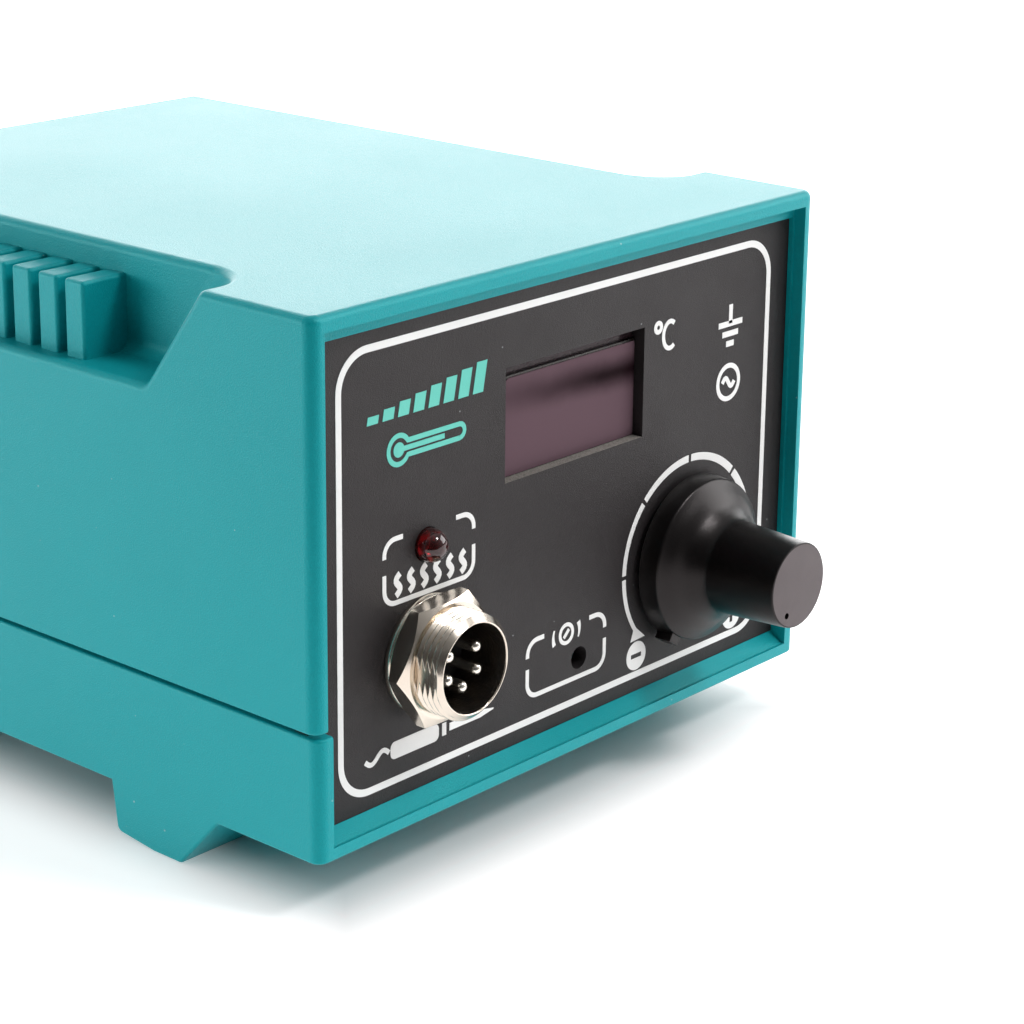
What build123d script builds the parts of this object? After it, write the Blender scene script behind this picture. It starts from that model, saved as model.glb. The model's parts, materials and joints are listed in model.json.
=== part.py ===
from build123d import *
import os
from math import cos, radians, sin, sqrt

# Driving dimensions, in millimetres
# +X is to the right seen from the front, +Y runs to the back and z = 0 is the bench
CASE_W = 113.9
CASE_D = 135.5
CASE_H = 79.2
BASE_INSET = 0.5
FOOT_H = 8.8
WALL = 2.45
BASE_WALL = 2.95
FLOOR = 2.0
CORNER_R = 1.9
EDGE_R = 1.2
BASE_EDGE_R = 0.5
SPLIT_Z = 28.1
SPLIT_GAP = 0.8
FIT = 0.1
TONGUE_T = 1.0

# Shoulders on both sides of the cover, with a sloped front end and upright fins
DECK_W = 92.0
SHOULDER_Z = 72.4
SHOULDER_FOOT = 30.6
SHOULDER_TOP = 18.9
SHOULDER_BEND_R = 7.0
LEDGE_R = 2.0
FIN_COUNT = 12
FIN_FIRST = 46.4
FIN_PITCH = 5.95
FIN_T = 4.25
FIN_REACH = 8.2
FIN_H = 11.6
FIN_EDGE_R = 0.6

# Panels, set back in the case, with a rim and a sloped sill in front of the front one
FRONT_SETBACK = 3.0
REAR_SETBACK = 5.0
RIM_T = 0.9
RIM_SIDE = 0.35
RIM_TOP = 1.95
SILL_RISE = 1.7
SILL_LIP = 0.5
PANEL_T = 2.5
GROOVE = 1.0
PANEL_Z = 48.0

# Places on the front panel, from its middle
WINDOW_AT = (1.35, 15.35)
WINDOW_SIZE = (32.1, 17.5)
LAMP_AT = (-31.3, 1.5)
LAMP_R = 2.5
LAMP_REACH = 3.2
SOCKET_AT = (-31.3, -15.0)
SOCKET_R = 8.0
SOCKET_BORE_R = 6.4
SOCKET_REACH = 9.4
SOCKET_NOSE = 1.1
SOCKET_NOSE_R = 6.9
SOCKET_THREAD = 3.5
SOCKET_BODY_R = 7.4
WASHER_R = 9.0
WASHER_T = 1.25
NUT_ACROSS = 18.0
NUT_T = 3.5
NUT_TURN = 4.0
PIN_CIRCLE = 3.5
PIN_R = 1.0
PIN_STEP = 62.0
KNOB_AT = (29.7, -15.7)
KNOB_REACH = 21.9
KNOB_RING_R = 13.5
KNOB_LIP_R = 13.1
KNOB_LIP = 4.2
KNOB_NECK = 9.8
KNOB_GRIP_R = 7.5
KNOB_END_R = 6.85
KNOB_EDGE = 0.25
POINTER_DEG = 237.0
TRIM_AT = (3.0, -25.8)
TRIM_HOLE_R = 1.8

# Feet
FOOT_W = 14.0
FOOT_FRONT = 17.9
FOOT_TOE = 26.0
FOOT_FLAT = 32.0
FOOT_HEEL = 40.0
FOOT_HEEL_RISE = 0.9
FOOT_BACK = 41.1
SCREW_X = 49.0
SCREW_Y = 33.5

# Screws, and the posts that they go into
POST_R = 4.2
BOSS_R = 3.4
PILOT_R = 1.55
CLEAR_R = 1.8
SINK_R = 4.0
SINK_Z = 5.0
CASE_SCREW_L = 38.0
CORE_SCREW_X = 35.0

# Rear panel, places from its middle line and the bench
INLET_AT = (-27.0, 42.0)
SWITCH_AT = (28.0, 42.0)
ROCKER_TILT = 11.0
ROCKER_PIVOT = -3.0

# Control board behind the front panel
BOARD_Y = 15.0
BOARD_T = 1.6
BOARD_HALF = 49.0
BOARD_Z = (18.0, 80.0)
SPACER_X = 46.0
SPACER_Z = (24.0, 76.0)
TRIAC_X = 33.5
TRIAC_TAB = 16.2

# Transformer
CORE_W = 57.0
CORE_H = 47.5
CORE_STACK = 28.0
CORE_Y = 62.0
CORE_Z = 16.8

# Derived places: the bounding box is centred on the origin
TOP_Z = FOOT_H + CASE_H
Y_FRONT = (KNOB_REACH - FRONT_SETBACK - CASE_D) / 2
Y_BACK = Y_FRONT + CASE_D
Y_PANEL = Y_FRONT + FRONT_SETBACK
Y_REAR = Y_BACK - REAR_SETBACK
HALF_W = CASE_W / 2
HALF_DECK = DECK_W / 2
INNER_W = HALF_W - WALL
HALF_BASE = HALF_W - BASE_INSET
INNER_BASE = HALF_BASE - BASE_WALL
FLOOR_Z = FOOT_H + FLOOR
ROOF_Z = TOP_Z - WALL
LOWER_TOP = SPLIT_Z - SPLIT_GAP / 2
UPPER_BOTTOM = SPLIT_Z + SPLIT_GAP / 2
BOARD_BACK = BOARD_Y + BOARD_T
PAST = 20.0


# Helpers: front() measures back from the front panel's face
def front(depth):
    return Y_PANEL + depth


def on_panel(place):
    return place[0], PANEL_Z + place[1]


def block(x0, x1, y0, y1, z0, z1):
    size = Box(x1 - x0, y1 - y0, z1 - z0)
    return Pos((x0 + x1) / 2, (y0 + y1) / 2, (z0 + z1) / 2) * size


def rod_y(radius, y0, y1, x, z):
    return Pos(x, (y0 + y1) / 2, z) * Rot(90, 0, 0) * Cylinder(radius, y1 - y0)


def rod_z(radius, z0, z1, x, y):
    return Pos(x, y, (z0 + z1) / 2) * Cylinder(radius, z1 - z0)


def rod_x(radius, x0, x1, y, z):
    return Pos((x0 + x1) / 2, y, z) * Rot(0, 90, 0) * Cylinder(radius, x1 - x0)


def side_prism(points, x0, x1, radius=0.0, rounded=()):
    face = make_face(Polyline(*points, close=True))
    if rounded:
        corners = [v for v in face.vertices() if any(is_at(v, points[k]) for k in rounded)]
        face = fillet(corners, radius)
    return Pos(x0, 0, 0) * extrude(Plane.YZ * face, x1 - x0)


def is_at(vertex, point):
    return abs(vertex.X - point[0]) < 1e-4 and abs(vertex.Y - point[1]) < 1e-4


def mirrored(solid):
    return mirror(solid, Plane.YZ)


def near(a, b):
    return abs(a - b) < 0.02


def bolt(head_r, head_h, shank_r, length):
    head = Pos(0, 0, head_h / 2) * Cylinder(head_r, head_h)
    head = fillet(head.edges().group_by(Axis.Z)[-1], head_h * 0.35)
    slot = Box(head_r * 1.2, head_r * 0.28, head_h)
    recess = Pos(0, 0, head_h) * (slot + Rot(0, 0, 90) * slot)
    shank = Pos(0, 0, -length / 2) * Cylinder(shank_r, length)
    return head - recess + shank


def hex_nut(across, thick, bore_r, turn=0.0):
    outline = RegularPolygon(across / 2, 6, major_radius=False)
    prism = Pos(0, 0, thick / 2) * extrude(outline, thick / 2, both=True)
    cone_r = across / 2 / cos(radians(30))
    bevel = (cone_r - across / 2) * 0.6
    limit = Pos(0, 0, thick / 2) * Cylinder(cone_r, thick)
    limit = chamfer(limit.edges().filter_by(GeomType.CIRCLE), bevel, bevel * 1.4)
    bore = Pos(0, 0, thick / 2) * Cylinder(bore_r, thick * 2)
    return Rot(0, 0, turn) * ((prism & limit) - bore)


def wire(points, radius, bend):
    path = FilletPolyline(*points, radius=bend)
    start = Plane(origin=path @ 0, z_dir=path % 0)
    return sweep(start * Circle(radius), path=path)


# Case halves
def foot(side, rear):
    lift = FLOOR_Z - FLOOR / 2
    outline = [
        (FOOT_FRONT - 5, FOOT_H),
        (FOOT_FRONT, FOOT_H),
        (FOOT_TOE, 0),
        (FOOT_FLAT, 0),
        (FOOT_HEEL, FOOT_HEEL_RISE),
        (FOOT_BACK, FOOT_H),
        (FOOT_BACK + 5, FOOT_H),
        (FOOT_BACK + 5, lift),
        (FOOT_FRONT - 5, lift),
    ]
    outline = [(front(y), z) for y, z in outline]
    solid = side_prism(outline, HALF_BASE - FOOT_W, HALF_BASE, EDGE_R, (1, 2, 3, 4))
    if rear:
        solid = mirror(solid, Plane.XZ.offset(-(Y_FRONT + Y_BACK) / 2))
    return solid if side > 0 else mirrored(solid)


def screw_places():
    ys = (front(SCREW_Y), Y_FRONT + Y_BACK - front(SCREW_Y))
    return [(x, y) for x in (-SCREW_X, SCREW_X) for y in ys]


def rear_outline(grow, y0, y1):
    low = block(-INNER_W - grow, INNER_W + grow, y0, y1, FLOOR_Z - grow, SHOULDER_Z - WALL + grow)
    deck = HALF_DECK - WALL + grow
    high = block(-deck, deck, y0, y1, FLOOR_Z - grow, ROOF_Z + grow)
    return low + high


def panel_grooves():
    reach = GROOVE + FIT
    front_groove = block(-INNER_W - reach, INNER_W + reach, Y_PANEL - FIT, front(PANEL_T + FIT),
                         FLOOR_Z - reach, ROOF_Z + reach)
    return front_groove + rear_outline(reach, Y_REAR - PANEL_T - FIT, Y_REAR + FIT)


def is_base_edge(edge):
    box = edge.bounding_box()
    upright = box.size.Z > 1 and box.size.Y < 0.01
    if box.max.Z > LOWER_TOP - 1 or upright:
        return False
    on_side = near(box.min.X, HALF_BASE) or near(box.max.X, -HALF_BASE)
    on_end = near(box.max.Y, Y_FRONT) or near(box.min.Y, Y_BACK)
    on_corner = near(box.max.Z, FOOT_H) and box.size.X > 1 and near(box.size.X, box.size.Y)
    return on_side or on_end or on_corner


def make_bottom_case():
    shell = block(-HALF_BASE, HALF_BASE, Y_FRONT, Y_BACK, FOOT_H, LOWER_TOP)
    shell = fillet(shell.edges().filter_by(Axis.Z), CORNER_R)
    shell = fillet(shell.edges().group_by(Axis.Z)[-1], SPLIT_GAP * 0.6)
    for side in (-1, 1):
        for rear in (False, True):
            shell += foot(side, rear)
    shell = fillet([e for e in shell.edges() if is_base_edge(e)], BASE_EDGE_R)
    shell -= block(-INNER_BASE, INNER_BASE, Y_FRONT - 1, Y_BACK + 1, FLOOR_Z, TOP_Z)
    sill = [(Y_FRONT + SILL_LIP, FLOOR_Z - 0.5), (Y_FRONT + SILL_LIP, FLOOR_Z),
            (Y_PANEL, FLOOR_Z + SILL_RISE), (Y_PANEL, FLOOR_Z - 0.5)]
    shell += side_prism(sill, -INNER_BASE - 0.5, INNER_BASE + 0.5)
    tongue_y = (front(PANEL_T + 2), Y_REAR - PANEL_T - 2)
    for side in (-1, 1):
        xs = sorted((side * (INNER_W - FIT), side * (INNER_W - FIT - TONGUE_T)))
        shell += block(*xs, *tongue_y, LOWER_TOP - 1, UPPER_BOTTOM + 2.5)
    for x, y in screw_places():
        shell += rod_z(POST_R, FLOOR_Z - 0.5, SPLIT_Z, x, y)
    for x in (-CORE_SCREW_X, CORE_SCREW_X):
        shell += rod_z(POST_R, FLOOR_Z - 0.5, CORE_Z, x, front(CORE_Y))
        shell -= rod_z(PILOT_R, FLOOR_Z - 0.8, CORE_Z + 1, x, front(CORE_Y))
    for x, y in screw_places():
        shell -= rod_z(CLEAR_R, -1, SPLIT_Z + 1, x, y)
        shell -= rod_z(SINK_R, -1, SINK_Z, x, y)
    return shell - panel_grooves()


def shoulder(grow):
    lean = (SHOULDER_FOOT - SHOULDER_TOP) / (TOP_Z - SHOULDER_Z)
    slant = sqrt(1 + lean * lean)
    foot_y = SHOULDER_FOOT - grow * (slant - lean)
    foot_z = SHOULDER_Z - grow
    head_y = foot_y - lean * (TOP_Z + PAST - foot_z)
    outline = [
        (front(foot_y), foot_z),
        (front(head_y), TOP_Z + PAST),
        (Y_BACK + PAST, TOP_Z + PAST),
        (Y_BACK + PAST, foot_z),
    ]
    return side_prism(outline, HALF_DECK - grow, HALF_W + PAST)


def shoulder_cut():
    cut = shoulder(0)
    inner = [e for e in cut.edges() if near(e.center().X, HALF_DECK)]
    bend = [e for e in inner if e.center().Y < front(SHOULDER_FOOT) and e.center().Z < TOP_Z + PAST - 1]
    cut = fillet(bend, SHOULDER_BEND_R)
    base = [e for e in cut.edges() if near(e.bounding_box().max.Z, SHOULDER_Z)]
    base = [e for e in base if e.center().X < HALF_W + PAST - 1 and e.center().Y < Y_BACK + PAST - 1]
    return fillet(base, LEDGE_R)


def fin():
    solid = block(HALF_DECK - 1, HALF_DECK + FIN_REACH, 0, FIN_T, SHOULDER_Z - 1, SHOULDER_Z + FIN_H)
    outer = [e for e in solid.edges() if near(e.center().X, HALF_DECK + FIN_REACH)]
    outer = [e for e in outer if e.center().Z > SHOULDER_Z]
    top = [e for e in solid.edges() if near(e.center().Z, SHOULDER_Z + FIN_H)]
    top = [e for e in top if near(e.center().Y, 0) or near(e.center().Y, FIN_T)]
    return fillet(outer + top, FIN_EDGE_R)


def panel_rim():
    reach, side = INNER_W + 0.5, INNER_W - RIM_SIDE
    rim = block(-reach, reach, Y_PANEL - RIM_T, Y_PANEL, UPPER_BOTTOM + 0.5, ROOF_Z + 0.5)
    return rim - block(-side, side, Y_PANEL - RIM_T - 1, Y_PANEL + 1, SPLIT_Z - 1, ROOF_Z - RIM_TOP)


def make_top_cover():
    shell = block(-HALF_W, HALF_W, Y_FRONT, Y_BACK, UPPER_BOTTOM, TOP_Z)
    shell = fillet(shell.edges().filter_by(Axis.Z), CORNER_R)
    cut = shoulder_cut()
    shell = shell - cut - mirrored(cut)
    skin = [e for e in shell.edges() if is_skin_edge(e)]
    shell = fillet(skin, EDGE_R)
    shell = fillet(shell.edges().group_by(Axis.Z)[0], SPLIT_GAP * 0.6)
    hollow = block(-INNER_W, INNER_W, Y_FRONT - 1, Y_BACK + 1, SPLIT_Z - 5, ROOF_Z)
    inner = shoulder(WALL)
    hollow = hollow - inner - mirrored(inner)
    shell = shell - hollow + panel_rim()
    one = fin()
    gap = FIN_PITCH - FIN_T
    slot = block(HALF_DECK - WALL - 1, HALF_DECK + 0.5, 0, gap, SHOULDER_Z + 2.5, SHOULDER_Z + FIN_H - 2)
    for k in range(FIN_COUNT):
        place = Pos(0, front(FIN_FIRST + k * FIN_PITCH), 0)
        shell += [place * one, mirrored(place * one)]
        if k:
            place = Pos(0, front(FIN_FIRST + k * FIN_PITCH - gap), 0)
            shell -= [place * slot, mirrored(place * slot)]
    for x, y in screw_places():
        shell += rod_z(BOSS_R, SPLIT_Z + 0.2, SHOULDER_Z - WALL / 2, x, y)
        shell -= rod_z(PILOT_R, SPLIT_Z - 1, SPLIT_Z + 22, x, y)
    return shell - panel_grooves()


def is_skin_edge(edge):
    c = edge.center()
    box = edge.bounding_box()
    if near(box.min.Z, TOP_Z):
        return True
    if box.min.Z < SHOULDER_Z - 0.05:
        return False
    on_side = near(box.min.X, HALF_W) or near(box.max.X, -HALF_W)
    on_back = near(box.min.Y, Y_BACK)
    on_corner = near(box.max.Z, SHOULDER_Z) and abs(c.X) > HALF_W - CORNER_R and c.Y > Y_BACK - CORNER_R
    return on_side or on_back or on_corner


# Panels and what is fixed in them
def board_corners():
    return [(x, z) for x in (-SPACER_X, SPACER_X) for z in SPACER_Z]


def make_front_panel():
    reach = INNER_W + GROOVE
    panel = block(-reach, reach, Y_PANEL, front(PANEL_T), FLOOR_Z - GROOVE, ROOF_Z + GROOVE)
    x, z = on_panel(WINDOW_AT)
    half_x, half_z = WINDOW_SIZE[0] / 2, WINDOW_SIZE[1] / 2
    panel -= block(x - half_x, x + half_x, front(-1), front(PANEL_T + 1), z - half_z, z + half_z)
    holes = [(LAMP_AT, LAMP_R + 0.1), (SOCKET_AT, SOCKET_BODY_R + 0.1)]
    holes += [(KNOB_AT, 3.6), (TRIM_AT, TRIM_HOLE_R)]
    for place, radius in holes:
        panel -= rod_y(radius, front(-1), front(PANEL_T + 1), *on_panel(place))
    return panel


def make_board_spacers():
    spacers = []
    for x, z in board_corners():
        spacer = rod_y(3.0, front(PANEL_T), front(BOARD_Y), x, z)
        spacers.append(spacer - rod_y(1.3, front(BOARD_Y - 9.5), front(BOARD_Y + 1), x, z))
    return spacers


def make_rear_panel():
    panel = rear_outline(GROOVE, Y_REAR - PANEL_T, Y_REAR)
    for place, half_x, half_z in ((INLET_AT, 14.0, 14.5), (SWITCH_AT, 6.6, 9.6)):
        x, z = place
        panel -= block(x - half_x, x + half_x, Y_REAR - PANEL_T - 1, Y_REAR + 1, z - half_z, z + half_z)
    for x in (INLET_AT[0] - 20, INLET_AT[0] + 20):
        panel -= rod_y(1.7, Y_REAR - PANEL_T - 1, Y_REAR + 1, x, INLET_AT[1])
    return panel


def make_case_screws():
    one = Rot(180, 0, 0) * bolt(3.4, 2.4, 1.5, CASE_SCREW_L)
    return [Pos(x, y, SINK_Z) * one for x, y in screw_places()]


def make_display_window():
    x, z = on_panel(WINDOW_AT)
    half_x, half_z = WINDOW_SIZE[0] / 2 + 2, WINDOW_SIZE[1] / 2 + 2
    return block(x - half_x, x + half_x, front(PANEL_T), front(PANEL_T + 2), z - half_z, z + half_z)


def make_display_module():
    x, z = on_panel(WINDOW_AT)
    body = block(x - 15, x + 15, front(6.5), front(BOARD_Y - 1), z - 7, z + 7)
    for k in range(6):
        for row in (-5.0, 5.0):
            body += rod_y(0.3, front(BOARD_Y - 2), front(BOARD_Y), x - 12.5 + 5 * k, z + row)
    return body


def make_heating_lamp():
    x, z = on_panel(LAMP_AT)
    dome_y = front(LAMP_R - LAMP_REACH)
    body = Pos(x, dome_y, z) * Sphere(LAMP_R) + rod_y(LAMP_R, dome_y, front(5.4), x, z)
    body += rod_y(2.9, front(4.4), front(5.4), x, z)
    for step in (-1.27, 1.27):
        body += rod_y(0.3, front(5.0), front(BOARD_Y), x + step, z)
    return body


# Iron socket
def make_socket_shell():
    x, z = on_panel(SOCKET_AT)
    thread_end = SOCKET_NOSE - SOCKET_REACH
    nose = Cone(SOCKET_R, SOCKET_NOSE_R, SOCKET_NOSE, align=(Align.CENTER, Align.CENTER, Align.MIN))
    shell = Pos(x, front(thread_end), z) * Rot(90, 0, 0) * nose
    shell += rod_y(SOCKET_R, front(thread_end), front(thread_end + SOCKET_THREAD), x, z)
    shell += rod_y(SOCKET_BODY_R, front(thread_end), front(13.0), x, z)
    shell += rod_y(10.5, front(PANEL_T), front(PANEL_T + 2), x, z)
    shell -= rod_y(SOCKET_BORE_R, front(-SOCKET_REACH - 1), front(14.0), x, z)
    key = block(-1.0, 1.0, front(-SOCKET_REACH - 1), front(-2.0), SOCKET_BORE_R - 1, SOCKET_BORE_R + 0.7)
    return shell - Pos(x, 0, z) * Rot(0, 12, 0) * key


def make_socket_washer():
    x, z = on_panel(SOCKET_AT)
    disc = rod_y(WASHER_R, front(-WASHER_T), Y_PANEL, x, z)
    return disc - rod_y(SOCKET_BODY_R + 0.2, front(-2), front(1), x, z)


def make_socket_nut():
    x, z = on_panel(SOCKET_AT)
    nut = hex_nut(NUT_ACROSS, NUT_T, SOCKET_BODY_R + 0.04, NUT_TURN)
    return Pos(x, front(-WASHER_T), z) * Rot(90, 0, 0) * nut


def pin_places():
    x, z = on_panel(SOCKET_AT)
    angles = [radians(-90 + PIN_STEP * k) for k in range(-2, 3)]
    return [(x + PIN_CIRCLE * cos(a), z + PIN_CIRCLE * sin(a)) for a in angles]


def make_socket_insulator():
    x, z = on_panel(SOCKET_AT)
    core = rod_y(SOCKET_BORE_R - 0.02, front(-1.0), front(13.5), x, z)
    for px, pz in pin_places():
        core -= rod_y(PIN_R + 0.02, front(-2), front(15), px, pz)
    return core


def make_socket_pins():
    pins = []
    for px, pz in pin_places():
        tip = Pos(px, front(-6.0), pz) * Sphere(PIN_R)
        pin = tip + rod_y(PIN_R, front(-6.0), front(14.0), px, pz)
        pin += rod_y(1.3, front(13.6), front(19.0), px, pz)
        pins.append(pin)
    return pins


# Temperature control
def make_pot_body():
    x, z = on_panel(KNOB_AT)
    body = rod_y(8.2, front(PANEL_T), front(12.0), x, z) + rod_y(3.5, front(-3.8), front(4.0), x, z)
    body -= rod_y(7.0, front(PANEL_T + 1.2), front(10.8), x, z)
    return body - rod_y(3.04, front(-5), front(5), x, z)


def make_pot_shaft():
    x, z = on_panel(KNOB_AT)
    shaft = rod_y(3.0, front(-15.0), front(9.0), x, z)
    return shaft + rod_y(6.2, front(6.0), front(7.5), x, z)


def make_pot_washer():
    x, z = on_panel(KNOB_AT)
    return rod_y(5.4, front(-0.5), Y_PANEL, x, z) - rod_y(3.55, front(-2), front(1), x, z)


def make_pot_nut():
    x, z = on_panel(KNOB_AT)
    return Pos(x, front(-0.5), z) * Rot(90, 0, 0) * hex_nut(10.0, 2.0, 3.54)


def make_pot_terminals():
    x, z = on_panel(KNOB_AT)
    lugs = []
    for step in (-5.0, 0.0, 5.0):
        drop = z - 10.0
        lug = block(x + step - 0.6, x + step + 0.6, front(9.0), front(9.6), drop, z - 8.3)
        lug += block(x + step - 0.6, x + step + 0.6, front(9.0), front(BOARD_Y), drop - 0.6, drop)
        lugs.append(lug)
    return lugs


def make_temperature_knob():
    ring_back = 0.8
    lip, neck = (KNOB_LIP_R, KNOB_LIP), (KNOB_GRIP_R, KNOB_NECK)
    end = (KNOB_END_R, KNOB_REACH - KNOB_EDGE)
    face = (KNOB_END_R - KNOB_EDGE, KNOB_REACH)
    slope = (end[0] - neck[0], end[1] - neck[1])
    ring = Polyline((0, ring_back), (KNOB_RING_R, ring_back), lip)
    bell = Spline(lip, (11.15, 5.6), (8.95, 7.2), neck, tangents=[(-1.2, 1.0), slope])
    grip = Polyline(neck, end, face, (0, KNOB_REACH), (0, ring_back))
    section = make_face(Curve() + [ring, bell, grip])
    knob = Rot(90, 0, 0) * revolve(Plane.XZ * section, Axis.Z)
    knob -= rod_y(7.4, -5.0, 0, 0, 0)
    knob -= rod_y(3.02, -15.5, 0, 0, 0)
    rib = block(KNOB_RING_R - 1, KNOB_RING_R + 1.2, -KNOB_LIP + 0.2, -ring_back, -1.25, 1.25)
    dimple = rod_y(0.5, -KNOB_REACH - 1, -KNOB_REACH + 0.8, KNOB_END_R - 1.7, 0)
    knob = knob + Rot(0, -POINTER_DEG, 0) * rib - Rot(0, -POINTER_DEG, 0) * dimple
    x, z = on_panel(KNOB_AT)
    return Pos(x, Y_PANEL, z) * knob


# Control board and what is on it
def make_control_board():
    board = block(-BOARD_HALF, BOARD_HALF, front(BOARD_Y), front(BOARD_BACK), *BOARD_Z)
    board -= rod_y(10.0, front(BOARD_Y - 1), front(BOARD_Y + 3), *on_panel(SOCKET_AT))
    for x, z in board_corners():
        board -= rod_y(1.7, front(BOARD_Y - 1), front(BOARD_Y + 3), x, z)
    return board


def make_board_screws():
    one = Rot(-90, 0, 0) * bolt(2.8, 2.0, 1.25, 9.0)
    return [Pos(x, front(BOARD_BACK), z) * one for x, z in board_corners()]


def make_trimmer_body():
    x, z = on_panel(TRIM_AT)
    body = block(x - 3.3, x + 3.3, front(10.5), front(BOARD_Y), z - 3.3, z + 3.3)
    return body - rod_y(2.05, front(9), front(13.5), x, z)


def make_trimmer_rotor():
    x, z = on_panel(TRIM_AT)
    rotor = rod_y(2.0, front(10.0), front(13.2), x, z)
    for half_x, half_z in ((1.5, 0.3), (0.3, 1.5)):
        rotor -= block(x - half_x, x + half_x, front(9), front(11.0), z - half_z, z + half_z)
    return rotor


def chip(x, z, long, wide, legs):
    base = front(BOARD_BACK)
    body = block(x - long / 2, x + long / 2, base + 0.6, base + 4.0, z - wide / 2, z + wide / 2)
    pitch = 2.54
    for k in range(legs):
        leg_x = x + (k - (legs - 1) / 2) * pitch
        for side in (-1, 1):
            zs = sorted((z + side * (wide / 2 - 0.3), z + side * (wide / 2 + 0.5)))
            body += block(leg_x - 0.4, leg_x + 0.4, base, base + 2.2, *zs)
    return body


def make_filter_capacitors():
    base = front(BOARD_BACK)
    cans = []
    for x, z, radius, tall in ((14.0, 66.0, 6.3, 20.0), (2.0, 71.0, 4.0, 12.0), (-8.0, 71.0, 4.0, 12.0)):
        can = rod_y(radius, base, base + tall, x, z)
        cans.append(fillet(can.edges().group_by(Axis.Y)[-1], 0.6))
    return cans


def make_triac():
    x, base = TRIAC_X, front(BOARD_BACK)
    body = block(x - 5, x + 5, base + 4, base + 13, 55.0, 58.6)
    body += block(x - 5, x + 5, base + 4, base + 19.5, 58.4, 59.8)
    for k in (-1, 0, 1):
        leg = x + 2.54 * k
        body += block(leg - 0.4, leg + 0.4, base, base + 4.2, 57.0, 57.5)
    return body - rod_z(1.8, 50, 65, x, base + TRIAC_TAB)


def make_heat_sink():
    x, base = TRIAC_X, front(BOARD_BACK)
    sink = block(x - 9.5, x + 9.5, base + 2, base + 24, 59.8, 61.8)
    for k in range(5):
        fin_x = x - 9.5 + 4.35 * k
        sink += block(fin_x, fin_x + 1.6, base + 2, base + 24, 61.8, 72.0)
    return sink - rod_z(1.55, 55, 63, x, base + TRIAC_TAB)


def make_heat_sink_screw():
    base = front(BOARD_BACK)
    return Pos(TRIAC_X, base + TRIAC_TAB, 58.4) * Rot(180, 0, 0) * bolt(2.6, 2.0, 1.5, 3.6)


def make_supply_terminal():
    base = front(BOARD_BACK)
    body = block(-44.0, -28.0, base, base + 10.0, 60.0, 68.0)
    for x in (-40.0, -32.0):
        body -= rod_y(1.4, base + 5, base + 11, x, 64.0)
        body -= rod_z(1.2, 58.0, 63.0, x, base + 4)
    return body


# Transformer
def make_transformer_core():
    half = CORE_STACK / 2
    y0, y1 = front(CORE_Y) - half, front(CORE_Y) + half
    limb = CORE_W / 6
    core = block(-CORE_W / 2, CORE_W / 2, y0, y1, CORE_Z, CORE_Z + CORE_H)
    for side in (-1, 1):
        xs = sorted((side * limb, side * 2 * limb))
        core -= block(*xs, y0 - 1, y1 + 1, CORE_Z + limb, CORE_Z + CORE_H - limb)
    return core


def coil_tube(reach, inner, z0, z1):
    limb, half, y = CORE_W / 6, CORE_STACK / 2, front(CORE_Y)
    outer = block(-limb - reach, limb + reach, y - half - reach, y + half + reach, z0, z1)
    hole = block(-limb - inner, limb + inner, y - half - inner, y + half + inner, z0 - 1, z1 + 1)
    return outer - hole


def make_transformer_bobbin():
    limb = CORE_W / 6
    z0, z1 = CORE_Z + limb + 0.2, CORE_Z + CORE_H - limb - 0.2
    bobbin = coil_tube(1.2, 0.1, z0, z1)
    return bobbin + coil_tube(9.0, 0.1, z0, z0 + 1.2) + coil_tube(9.0, 0.1, z1 - 1.2, z1)


def make_transformer_windings():
    limb = CORE_W / 6
    z0, z1 = CORE_Z + limb + 1.5, CORE_Z + CORE_H - limb - 1.5
    return coil_tube(8.2, 1.3, z0, z1)


def make_transformer_bracket():
    y0, y1 = front(CORE_Y) - 10, front(CORE_Y) + 10
    half, sheet = CORE_W / 2 + FIT, 1.0
    top = CORE_Z + CORE_H + FIT
    strap = block(-half - sheet, half + sheet, y0, y1, CORE_Z, top + sheet)
    strap -= block(-half, half, y0 - 1, y1 + 1, CORE_Z - 1, top)
    for side in (-1, 1):
        xs = sorted((side * half, side * (half + 11.5)))
        strap += block(*xs, y0, y1, CORE_Z, CORE_Z + sheet)
        strap -= rod_z(CLEAR_R, CORE_Z - 1, CORE_Z + 3, side * CORE_SCREW_X, front(CORE_Y))
    return strap


def make_transformer_screws():
    one = bolt(3.0, 2.2, 1.5, 6.2)
    return [Pos(x, front(CORE_Y), CORE_Z + 1.0) * one for x in (-CORE_SCREW_X, CORE_SCREW_X)]


# Mains inlet with its fuse drawer
def inlet_block(x0, x1, y0, y1, z0, z1):
    x, z = INLET_AT
    return block(x + x0, x + x1, Y_REAR + y0, Y_REAR + y1, z + z0, z + z1)


def make_mains_inlet():
    flange = inlet_block(-25, 25, 0, 3, -16, 16)
    flange = chamfer(flange.edges().filter_by(Axis.Y), 5)
    body = flange + inlet_block(-13.75, 13.75, -24, 1, -14.25, 14.25)
    pocket = inlet_block(-12.2, 12.2, -14, 4, -4, 12.4)
    top = [e for e in pocket.edges().filter_by(Axis.Y) if e.center().Z > INLET_AT[1]]
    body -= chamfer(top, 4.2)
    body -= inlet_block(-6.3, 6.3, -23, 4, -13.2, -6.6)
    body -= inlet_block(-8.0, 8.0, 1.6, 4, -14.0, -5.8)
    for x in (-20, 20):
        body -= rod_y(1.7, Y_REAR - 1, Y_REAR + 4, INLET_AT[0] + x, INLET_AT[1])
    for x, z in blade_places():
        body -= inlet_block(x - 1.02, x + 1.02, -26, -12, z - 2.02, z + 2.02)
    return body


def blade_places():
    return [(-7.0, 3.2), (0.0, 7.2), (7.0, 3.2)]


def make_inlet_pins():
    return [inlet_block(x - 1, x + 1, -32, -2, z - 2, z + 2) for x, z in blade_places()]


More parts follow.
